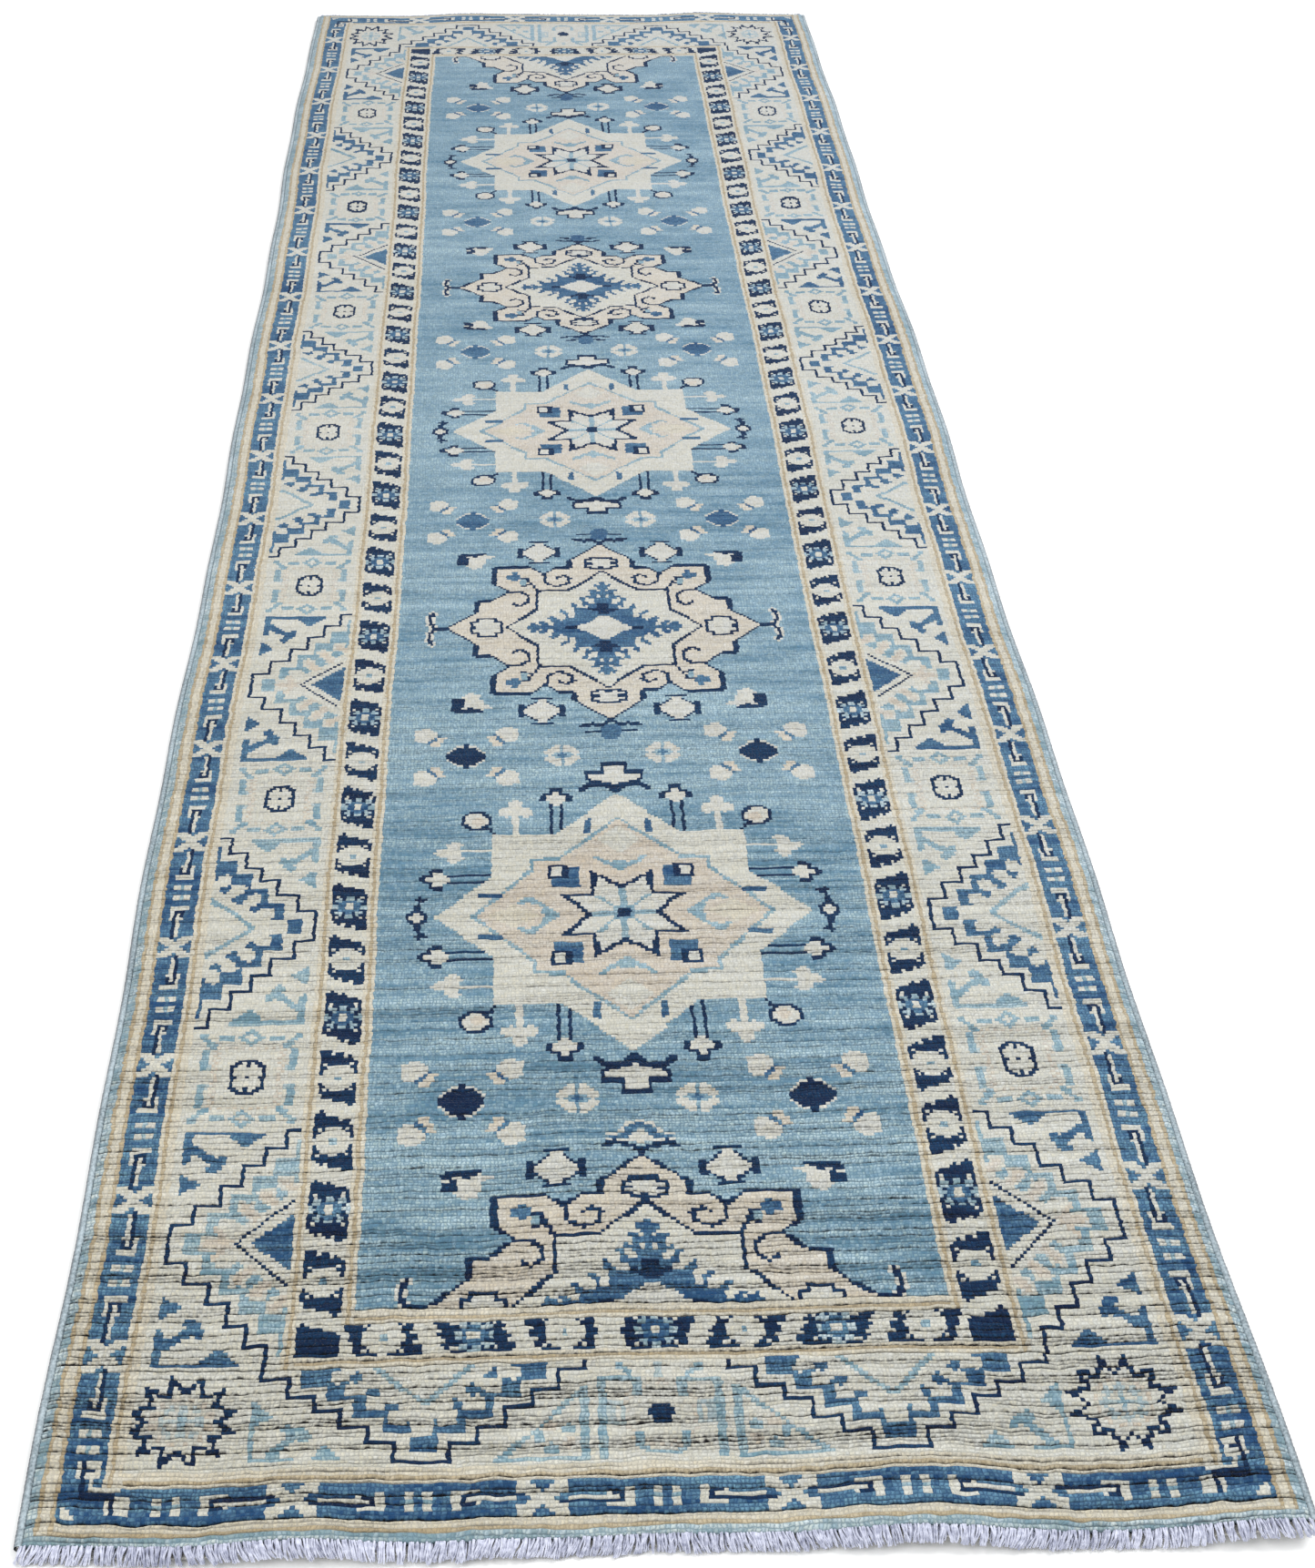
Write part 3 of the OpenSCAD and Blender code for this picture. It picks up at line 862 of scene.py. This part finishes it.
def surface_grid():
    """Top of the pile: a line of points at each gap between rows, and one along the crest of each row."""
    lines, cols = 2 * ROWS + 1, COLS + 1
    grid = (lines, cols)
    x, y = np.meshgrid(np.linspace(GROUND[0][0], GROUND[1][0], cols), np.linspace(NEAR_END, FAR_END, lines))
    drift = 0.0009 * smooth_noise(grid, 26, 24) + 0.0008 * smooth_noise(grid, 10, 4.5)
    x += 0.0005 * smooth_noise(grid, 14, 8) + 0.0010 * smooth_noise(grid, 2.2, 1.6)
    y += drift + 0.0008 * smooth_noise(grid, 3.2, 3.0)
    # the crests wander a little, so the edges of a shape are ragged
    x[1::2] += 0.0005 * chance.uniform(-1, 1, (ROWS, cols))
    z = np.full(grid, PILE_TOP) + 0.00025 * chance.uniform(-1, 1, grid)
    z += 0.0004 * smooth_noise(grid, 7, 16)
    z[0::2] -= ROW_DIP + GAP_DEPTH * GAPS
    line, col = np.mgrid[0:lines, 0:cols]
    rim = np.minimum(np.minimum(line / 2, ROWS - line / 2), np.minimum(col, COLS - col))
    z -= RIM_DROP * np.clip(1 - rim / RIM_KNOTS, 0, 1) ** 2
    x[:, 0], x[:, -1] = GROUND[0][0], GROUND[1][0]
    y[0], y[-1] = NEAR_END, FAR_END
    return np.stack([x, y, z], axis=2)


SURFACE = surface_grid()
GAP_LINES = np.repeat(GAPS, 2, axis=0)[:-1]
GAP_LINES[1::2] = (GAPS[:-1] + GAPS[1:]) / 2


# ------ building pieces

def quads(*corners):
    """Four-sided faces from four arrays of corners."""
    return np.stack(corners, axis=1)


def new_piece(node, points, faces, slot, prefix="", material=None):
    """A smooth mesh object that stands for a CAD node, in its slot's material unless another is given."""
    points, faces = points.astype(np.float32), faces.astype(np.int32)
    name = prefix + node
    mesh = bpy.data.meshes.new(name)
    mesh.vertices.add(len(points))
    mesh.vertices.foreach_set("co", points.ravel())
    mesh.loops.add(faces.size)
    mesh.loops.foreach_set("vertex_index", faces.ravel())
    mesh.polygons.add(len(faces))
    mesh.polygons.foreach_set("loop_start", np.arange(len(faces), dtype=np.int32) * faces.shape[1])
    mesh.update(calc_edges=True)
    mesh.validate()
    mesh.shade_smooth()
    mesh.materials.append(MATERIALS[material or slot])
    piece = bpy.data.objects.new(name, mesh)
    bpy.context.scene.collection.objects.link(piece)
    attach(piece, "root")
    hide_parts(node)
    return piece


def set_attribute(piece, name, domain, values):
    layer = piece.data.attributes.new(name, "FLOAT", domain)
    layer.data.foreach_set("value", np.asarray(values, dtype=np.float32).ravel())


def pile_piece(node, cells, slot):
    """The knots of one CAD node: ridged rows on top, and cut yarn down the sides to the ground weave."""
    cols = COLS + 1
    row, col = np.nonzero(cells)
    low = 2 * row * cols + col
    middle, high = low + cols, low + 2 * cols
    tops = [quads(low, low + 1, middle + 1, middle), quads(middle, middle + 1, high + 1, high)]
    # the sides of a knot: the way to its neighbour there, and the two ends of the side
    sides = (
        (-1, 0, low + 1, low),
        (1, 0, high, high + 1),
        (0, -1, low, middle),
        (0, -1, middle, high),
        (0, 1, middle + 1, low + 1),
        (0, 1, high + 1, middle + 1),
    )
    padded = np.pad(cells, 1)
    knot = row * COLS + col
    owners, walls = [knot, knot], []
    for d_row, d_col, start, stop in sides:
        bare = ~padded[row + 1 + d_row, col + 1 + d_col]
        walls.append(np.stack([start[bare], stop[bare]], axis=1))
        owners.append(knot[bare])
    used, tops = np.unique(np.concatenate(tops), return_inverse=True)
    rim, walls = np.unique(np.concatenate(walls), return_inverse=True)
    tops, (start, stop) = tops.reshape(-1, 4), walls.reshape(-1, 2).T
    surface, gap = SURFACE.reshape(-1, 3), GAP_LINES.ravel()
    foot = surface[rim]
    foot[:, 2] = GROUND_TOP
    points = np.concatenate([surface[used], surface[rim], foot])
    upper, lower = len(used), len(used) + len(rim)
    faces = np.concatenate([tops, quads(start + upper, stop + upper, stop + lower, start + lower)])
    piece = new_piece(node, lay(points), faces, slot, prefix="pile_")
    owner = np.concatenate(owners)
    set_attribute(piece, "yarn", "FACE", (chart.ravel()[owner] + 0.5) / len(YARNS))
    set_attribute(piece, "tone", "FACE", TONE.ravel()[owner])
    # the foot of each side counts as a full gap, so painted shade darkens the sides low down
    set_attribute(piece, "gap", "POINT", np.concatenate([gap[used], gap[rim], np.ones(len(rim))]))
    whose = np.concatenate([used, rim, rim])
    set_attribute(piece, "row", "POINT", whose // cols / 2)
    set_attribute(piece, "column", "POINT", whose % cols)
    return piece


def node_cells(node, cut=()):
    """The knots in a rectangular CAD node, without those that other pieces hold."""
    c0, c1, r0, r1 = knots(node)
    cells = np.zeros((ROWS, COLS), dtype=bool)
    cells[r0:r1, c0:c1] = True
    for other in cut:
        cells &= ~other
    return cells


def medallion_cells(outline, row, pull):
    """The knots inside a medallion's outline, within the field."""
    rows, cols = np.mgrid[0:ROWS, 0:COLS] + 0.5
    pen = Pen(None, np.abs(cols - MIDDLE), np.abs(rows - row) / pull)
    return pen.inside(ORIGIN + outline) & (rows > FIELD_LOW) & (rows < FIELD_HIGH)


# the slot of each plain line and border, from the outside in
BAND_SLOTS = {
    "edge_stripe": "wool_pale_blue",
    "line_a": "wool_beige",
    "guard": "wool_blue",
    "line_b": "wool_beige",
    "main": "wool_ivory",
    "line_c": "wool_beige",
    "narrow": "wool_navy",
    "line_d": "wool_beige",
}


def make_pile():
    """Every node of the pile, as a list of pieces."""
    stars = {node: medallion_cells(STAR, *place) for node, place in STARS.items()}
    hookeds = {node: medallion_cells(HOOKED, *place) for node, place in HOOKEDS.items()}
    made = [pile_piece(node, cells, "wool_ivory") for node, cells in stars.items()]
    made += [pile_piece(node, cells, "wool_pink") for node, cells in hookeds.items()]
    for side in FLANKS:
        cells = node_cells(f"field_{side}", cut=(*stars.values(), *hookeds.values()))
        made.append(pile_piece(f"field_{side}", cells, "wool_sky"))
    rest = {f"{band}_{side}": slot for band, slot in BAND_SLOTS.items() for side in SIDES}
    rest |= {f"corner_{corner}": "wool_ivory" for corner in CORNERS}
    made += [pile_piece(node, node_cells(node), slot) for node, slot in rest.items()]
    return made


def slab(node, steps, relief):
    """A closed woven strip that fills a CAD node's box, in steps along x and y, and follows the lie."""
    low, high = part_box(node)
    xs = np.linspace(low[0], high[0], steps[0] + 1)
    ys = np.linspace(low[1], high[1], steps[1] + 1)
    grid_y, grid_x = np.meshgrid(ys, xs, indexing="ij")
    over_under = np.indices(grid_x.shape).sum(axis=0) % 2 - 0.5
    top = np.stack([grid_x, grid_y, high[2] + relief * over_under], axis=2)
    bottom = np.stack([grid_x, grid_y, low[2] + relief * (over_under + 0.5)], axis=2)
    points = np.concatenate([top.reshape(-1, 3), bottom.reshape(-1, 3)])
    index = np.arange(grid_x.size).reshape(grid_x.shape)
    below = grid_x.size
    a, b = index[:-1, :-1].ravel(), index[:-1, 1:].ravel()
    c, d = index[1:, 1:].ravel(), index[1:, :-1].ravel()
    faces = [quads(a, b, c, d), quads(a + below, d + below, c + below, b + below)]
    for line in (index[0, ::-1], index[-1], index[:, 0], index[::-1, -1]):
        start, stop = line[:-1], line[1:]
        faces.append(quads(start, stop, stop + below, start + below))
    return new_piece(node, lay(points), np.concatenate(faces), "cotton")


def around(sides):
    """The angle of each side of a tube, as one row."""
    return np.arange(sides)[None, :] * math.tau / sides


def tube(path, radius):
    """Points and faces of an open-ended tube. path is (n, 3), radius (n, sides)."""
    n, sides = radius.shape
    along = np.gradient(path, axis=0)
    along /= np.linalg.norm(along, axis=1)[:, None]
    across = np.cross(along, (0.0, 0.0, 1.0))
    across /= np.maximum(np.linalg.norm(across, axis=1), 1e-6)[:, None]
    lift = np.cross(across, along)
    angle = around(sides)[:, :, None]
    ring = across[:, None, :] * np.cos(angle) + lift[:, None, :] * np.sin(angle)
    points = path[:, None, :] + ring * radius[:, :, None]
    i, j = np.mgrid[0 : n - 1, 0:sides]
    a = (i * sides + j).ravel()
    b = (i * sides + (j + 1) % sides).ravel()
    return points.reshape(-1, 3), quads(a, b, b + sides, a + sides)


# ------ ground, webs, edges and fringes

WRAP_PITCH = 0.0034      # one turn of the overcasting yarn
PLY_PITCH = 0.021        # one turn of the core cord's four plies
CORD_SIDES = 12
TUFTS = 250              # in a fringe
STRANDS = 7              # loose ends in a tuft
STRAND_STEPS = 8
STRAND_SIDES = 4
STRAND_RADIUS = 0.00072
STRAND_REST = 0.0007     # height of its tip above the floor


def make_ground():
    return slab("ground_weave", (COLS // 2, ROWS // 2), relief=0.0004)


def make_webs():
    return [slab(f"web_{end}", (COLS, 8), relief=0.0005) for end in ENDS]


def cord_path(node, step):
    """Points along the middle of a CAD node that runs along y, near enough one every step."""
    low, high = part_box(node)
    count = round((high[1] - low[1]) / step)
    path = np.empty((count + 1, 3))
    path[:, 0] = (low[0] + high[0]) / 2
    path[:, 1] = np.linspace(low[1], high[1], count + 1)
    path[:, 2] = (low[2] + high[2]) / 2
    return path


def selvedge_core(side, turn):
    """The cotton cord in an edge: four plies twisted together."""
    node = f"selvedge_core_{side}"
    low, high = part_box(node)
    path = cord_path(node, 0.003)
    twist = path[:, 1:2] * math.tau / PLY_PITCH * turn
    plies = np.abs(np.cos(2 * (around(CORD_SIDES) + twist)))
    points, faces = tube(lay(path), (high[0] - low[0]) / 2 * (0.86 + 0.14 * plies))
    return new_piece(node, points, faces, "cotton")


def selvedge_wrap(side, turn):
    """The wool wound over an edge's cord, turn beside turn."""
    node = f"selvedge_wrap_{side}"
    low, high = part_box(node)
    path = cord_path(node, WRAP_PITCH / 4)
    twist = path[:, 1:2] * math.tau / WRAP_PITCH * turn
    turns = np.cos(around(CORD_SIDES) + twist)
    loose = np.repeat(smooth_noise((len(path) // 4 + 2, CORD_SIDES), 1.2, 3), 4, axis=0)[: len(path)]
    radius = (high[2] - low[2]) / 2 * (0.95 + 0.055 * turns + 0.05 * loose)
    points, faces = tube(lay(path), radius)
    wrap = new_piece(node, points, faces, "overcast_wool")
    # painted shade: the outer side of the edge is darkened as if it lay in shadow
    outward = np.clip(-0.2 - 1.6 * turn * np.cos(around(CORD_SIDES)), 0, 1)
    set_attribute(wrap, "outer_shade", "POINT", np.broadcast_to(outward**1.5, radius.shape))
    return wrap


def make_selvedges():
    made = []
    for side, turn in (("left", 1), ("right", -1)):
        made += [selvedge_core(side, turn), selvedge_wrap(side, turn)]
    return made


def make_fringe(end):
    """Short cut warp ends in tufts: they come out from under the pile, bend down and lie on the floor."""
    node = f"fringe_{end}"
    low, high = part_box(node)
    way, root, pile_end = (-1, high[1], NEAR_END) if end == "near" else (1, low[1], FAR_END)
    length, web = high[1] - low[1], abs(root - pile_end)
    t = np.linspace(0, 1, STRAND_STEPS)
    radius = STRAND_RADIUS * (1 - 0.25 * t)[:, None] * np.ones(STRAND_SIDES)
    points, faces = [], []
    for tuft in range(TUFTS):
        middle = low[0] + (tuft + 0.5 + 0.3 * chance.uniform(-1, 1)) * (high[0] - low[0]) / TUFTS
        lean = 0.0040 * math.sin(middle * 19) + 0.0022 * chance.uniform(-1, 1)
        reach = web + length * (0.42 + 0.15 * chance.uniform() + 0.20 * chance.uniform() ** 6)
        for _ in range(STRANDS):
            start = middle + 0.0017 * chance.uniform(-1, 1)
            long = reach * (1 - 0.25 * chance.uniform() ** 1.5)
            splay = lean + 0.0007 * chance.normal()
            curl = 0.0009 * chance.uniform(-1, 1)
            height = chance.uniform(0.0030, 0.0066)
            x = start + splay * t**1.4 + curl * np.sin(t * 5 + chance.uniform(0, 6))
            y = root - way * web + way * long * (1.5 * t - 0.5 * t**2)
            z = STRAND_REST + height * (1 - t**2.4)
            tube_points, tube_faces = tube(lay(np.stack([x, y, z], axis=1)), radius)
            faces.append(tube_faces + len(points) * radius.size)
            points.append(tube_points)
    return new_piece(node, np.concatenate(points), np.concatenate(faces), "cotton", material="fringe")


# ------ materials

def rgba(colour):
    linear = [c / 12.92 if c <= 0.04045 else ((c + 0.055) / 1.055) ** 2.4 for c in colour]
    return (*linear, 1)


class Nodes:
    """Short ways to add and join shader nodes."""

    def __init__(self, name):
        self.material = bpy.data.materials.new(name)
        self.material.use_nodes = True
        self.tree = self.material.node_tree

    def put(self, sockets, values):
        """Give each socket its value, or join it to the output that the value comes from."""
        for socket, value in zip(sockets, values):
            if isinstance(value, bpy.types.NodeSocket):
                self.tree.links.new(value, socket)
            else:
                socket.default_value = value

    def add(self, kind, **inputs):
        node = self.tree.nodes.new(kind)
        self.put([node.inputs[name.replace("_", " ")] for name in inputs], inputs.values())
        return node

    def surface(self, **inputs):
        shader = self.tree.nodes["Principled BSDF"]
        self.put([shader.inputs[name.replace("_", " ")] for name in inputs], inputs.values())
        return self.material

    def attribute(self, name):
        node = self.add("ShaderNodeAttribute")
        node.attribute_name = name
        return node.outputs["Fac"]

    def math(self, operation, *values):
        node = self.add("ShaderNodeMath")
        node.operation = operation
        self.put(node.inputs, values)
        return node.outputs[0]

    def mix(self, factor, a, b, blend="MIX"):
        node = self.add("ShaderNodeMix")
        node.data_type = "RGBA"
        node.blend_type = blend
        self.put((node.inputs[0], node.inputs[6], node.inputs[7]), (factor, a, b))
        return node.outputs[2]

    def times(self, a, b):
        return self.mix(1.0, a, b, "MULTIPLY")

    def noise(self, scale, detail, stretch=(1, 1, 1)):
        place = self.add("ShaderNodeTexCoord").outputs["Object"]
        place = self.add("ShaderNodeMapping", Vector=place, Scale=stretch).outputs["Vector"]
        return self.add("ShaderNodeTexNoise", Vector=place, Scale=scale, Detail=detail).outputs["Fac"]

    def span(self, value, low, high, to_low=0.0, to_high=1.0):
        limits = {"From_Min": low, "From_Max": high, "To_Min": to_low, "To_Max": to_high}
        return self.add("ShaderNodeMapRange", Value=value, **limits).outputs[0]

    def ramp(self, value, colours, constant=False):
        node = self.tree.nodes.new("ShaderNodeValToRGB")
        node.color_ramp.interpolation = "CONSTANT" if constant else "LINEAR"
        stops = node.color_ramp.elements
        while len(stops) < len(colours):
            stops.new(1.0)
        for i, colour in enumerate(colours):
            stops[i].position = i / len(colours) if constant else i / (len(colours) - 1)
        for i, colour in enumerate(colours):
            stops[i].color = rgba(colour)
        self.put(node.inputs, [value])
        return node.outputs[0]

    def speckle(self, column, row):
        """A random value from 0 to 1 for each whole column and row."""
        cell = self.add("ShaderNodeCombineXYZ", X=self.math("FLOOR", column), Y=self.math("FLOOR", row))
        node = self.add("ShaderNodeTexWhiteNoise", Vector=cell.outputs[0])
        node.noise_dimensions = "2D"
        return node.outputs["Value"]

    def grey(self, value):
        return self.add("ShaderNodeCombineColor", Red=value, Green=value, Blue=value).outputs[0]

    def edge(self, count):
        """How near a running count is to a whole number: 1 at one, 0 halfway between two."""
        part = self.math("FRACT", count)
        return self.math("ABSOLUTE", self.math("SUBTRACT", self.math("MULTIPLY", part, 2), 1))

    def bump(self, height, distance, strength, **under):
        look = {"Height": height, "Distance": distance, "Strength": strength}
        return self.add("ShaderNodeBump", **look, **under).outputs[0]


# what is left of a yarn's colour low down between knots, with a little painted shade, and the dark painted
# shade in a gap between two rows
DEEP_SHADE = (0.84, 0.84, 0.85, 1)
GAP_SHADE = (0.012, 0.011, 0.014, 1)
PAINTED_OUTER_SHADE = (0.05, 0.05, 0.06, 1)      # painted shade on the outside of the edges


def pile_material(name):
    """Cut wool pile: each knot in its own yarn, streaks in the dye, fine fibres, a little painted shade
    between knots, and dark painted shade where rows part.
    """
    n = Nodes(name)
    yarn, tone = n.attribute("yarn"), n.attribute("tone")
    row, column = n.attribute("row"), n.attribute("column")
    deep, faded = (n.ramp(yarn, shades, constant=True) for shades in zip(*YARNS.values()))
    colour = n.mix(tone, deep, faded)
    # the dye lots run from warmer at the near end to cooler at the far end
    lot = n.ramp(n.span(row, 0, ROWS), [(1.0, 0.998, 0.978), (0.955, 0.957, 0.958), (0.930, 0.938, 0.952)])
    colour = n.times(colour, lot)
    # and a little from the left side to the right
    across = n.ramp(n.span(column, 0, COLS), [(1.0, 0.992, 0.982), (0.990, 0.992, 1.0)])
    colour = n.times(colour, across)
    # fibres lie towards the near end, so their grain is long that way
    grain = n.noise(620, 3, stretch=(1, 0.45, 0.6))
    colour = n.times(colour, n.ramp(grain, [(0.66, 0.66, 0.66), (1, 1, 1), (1, 1, 1)]))
    # no two knots are quite alike
    colour = n.times(colour, n.grey(n.span(n.speckle(column, row), 0, 1, 0.87, 1.0)))
    warmth = n.ramp(n.speckle(row, column), [(1.0, 0.985, 0.950), (0.985, 0.990, 1.0)])
    colour = n.times(colour, warmth)
    # between tufts the yarn shows lower down, where it is not faded, and painted shade darkens it there a
    # little: edge is 0 in a tuft and 1 between two
    waver = n.span(n.noise(260, 2), 0.25, 0.75, -0.32, 0.32)
    beside = n.edge(n.math("ADD", column, n.math("MULTIPLY", waver, 1.3)))
    between = n.edge(n.math("ADD", row, n.math("MULTIPLY", waver, 0.6)))
    edge = n.math("MAXIMUM", n.math("POWER", beside, 2.5), n.math("POWER", between, 3))
    colour = n.mix(n.math("MULTIPLY", edge, 0.75), colour, n.times(deep, DEEP_SHADE))
    # and where two rows part, the gap between them is painted dark as shade
    parted = n.math("MULTIPLY", n.math("POWER", between, 1.3), n.attribute("gap"))
    parted = n.math("MINIMUM", n.math("MULTIPLY", parted, 1.9), 1)
    colour = n.mix(parted, colour, n.times(colour, GAP_SHADE))
    knots_raised = n.bump(n.math("SUBTRACT", 1, edge), 0.0009, 0.6)
    return n.surface(
        Base_Color=colour,
        Roughness=n.span(grain, 0.3, 0.7, 0.95, 0.72),
        Normal=n.bump(grain, 0.0008, 0.7, Normal=knots_raised),
        Sheen_Weight=0.12,
        Sheen_Roughness=0.4,
        Specular_IOR_Level=0.15,
    )


def thread_material(name, deep, light, scale):
    """Spun thread: slubs and fibres in two shades."""
    n = Nodes(name)
    slub = n.noise(scale, 3)
    both = n.math("ADD", n.math("MULTIPLY", slub, 0.65), n.math("MULTIPLY", n.noise(14, 2), 0.35))
    colour = n.ramp(n.span(both, 0.35, 0.62), [deep, light])
    return n.surface(
        # painted shade on the outer side of an edge
        Base_Color=n.mix(n.math("MULTIPLY", n.attribute("outer_shade"), 0.85), colour, PAINTED_OUTER_SHADE),
        Roughness=n.span(slub, 0.3, 0.7, 0.85, 0.70),
        Normal=n.bump(slub, 0.0006, 0.6),
        Sheen_Weight=0.2,
        Specular_IOR_Level=0.2,
    )


def floor_material():
    n = Nodes("studio_floor")
    tint = n.ramp(n.noise(3, 2), [(0.965, 0.965, 0.96), (0.975, 0.975, 0.97)])
    return n.surface(Base_Color=tint, Roughness=0.9, Specular_IOR_Level=0.1)


# each thread's two shades, and how fine its slubs are
THREADS = {
    "cotton": ((0.62, 0.61, 0.58), (0.86, 0.85, 0.82), 700),
    "overcast_wool": ((0.40, 0.45, 0.475), (0.66, 0.71, 0.735), 500),
    "fringe": ((0.56, 0.575, 0.66), (0.83, 0.84, 0.90), 300),
}
PILE_SLOTS = {"wool_sky", "wool_pink", *BAND_SLOTS.values()}
MATERIALS = {slot: pile_material(slot) for slot in sorted(PILE_SLOTS)}
MATERIALS |= {name: thread_material(name, *look) for name, look in THREADS.items()}


# ------ the object

pile = make_pile()
ground = make_ground()
webs = make_webs()
selvedges = make_selvedges()
fringes = [make_fringe(end) for end in ENDS]


# ------ floor, light and camera

FLOOR_REACH = 14.0
FLOOR_SIDES = 64
FLOOR_GAP = 0.0004       # how far it stays below the runner
LENS = 51.885
CAMERA_PLACE = (-0.0788, -2.3387, 1.2353)
CAMERA_TURN = (53.376, -0.590, -2.616)      # in degrees


def make_floor():
    """A wide disc just under the runner."""
    rim = [(FLOOR_REACH * math.cos(a), FLOOR_REACH * math.sin(a), 0) for a in around(FLOOR_SIDES)[0]]
    mesh = bpy.data.meshes.new("studio_floor")
    mesh.from_pydata(rim, [], [range(FLOOR_SIDES)])
    mesh.materials.append(floor_material())
    floor = bpy.data.objects.new("studio_floor", mesh)
    floor.location.z = cad_box[0].z - FLOOR_GAP
    bpy.context.scene.collection.objects.link(floor)


def make_light(name, place, size, power):
    """A square lamp that faces the middle of the runner."""
    data = bpy.data.lights.new(name, "AREA")
    data.size = size
    data.energy = power
    light = bpy.data.objects.new(name, data)
    light.location = place
    light.rotation_mode = "QUATERNION"
    light.rotation_quaternion = (-light.location).to_track_quat("-Z", "Y")
    bpy.context.scene.collection.objects.link(light)


def make_camera():
    data = bpy.data.cameras.new("camera")
    data.lens = LENS
    data.sensor_width = 36
    data.shift_x = 0.02
    data.clip_start, data.clip_end = 0.05, 60
    camera = bpy.data.objects.new("camera", data)
    camera.location = CAMERA_PLACE
    camera.rotation_euler = [math.radians(a) for a in CAMERA_TURN]
    bpy.context.scene.collection.objects.link(camera)
    bpy.context.scene.camera = camera


def make_world():
    world = bpy.data.worlds.new("studio")
    world.use_nodes = True
    back = world.node_tree.nodes["Background"]
    back.inputs["Color"].default_value = (0.97, 0.985, 1.0, 1)
    back.inputs["Strength"].default_value = 0.88
    bpy.context.scene.world = world


make_floor()
make_world()
make_light("key", (2.6, 0.4, 3.4), size=2.2, power=139)
make_light("fill", (-2.2, -2.2, 3.0), size=2.5, power=58)
make_camera()
bpy.context.scene.view_settings.view_transform = "Standard"
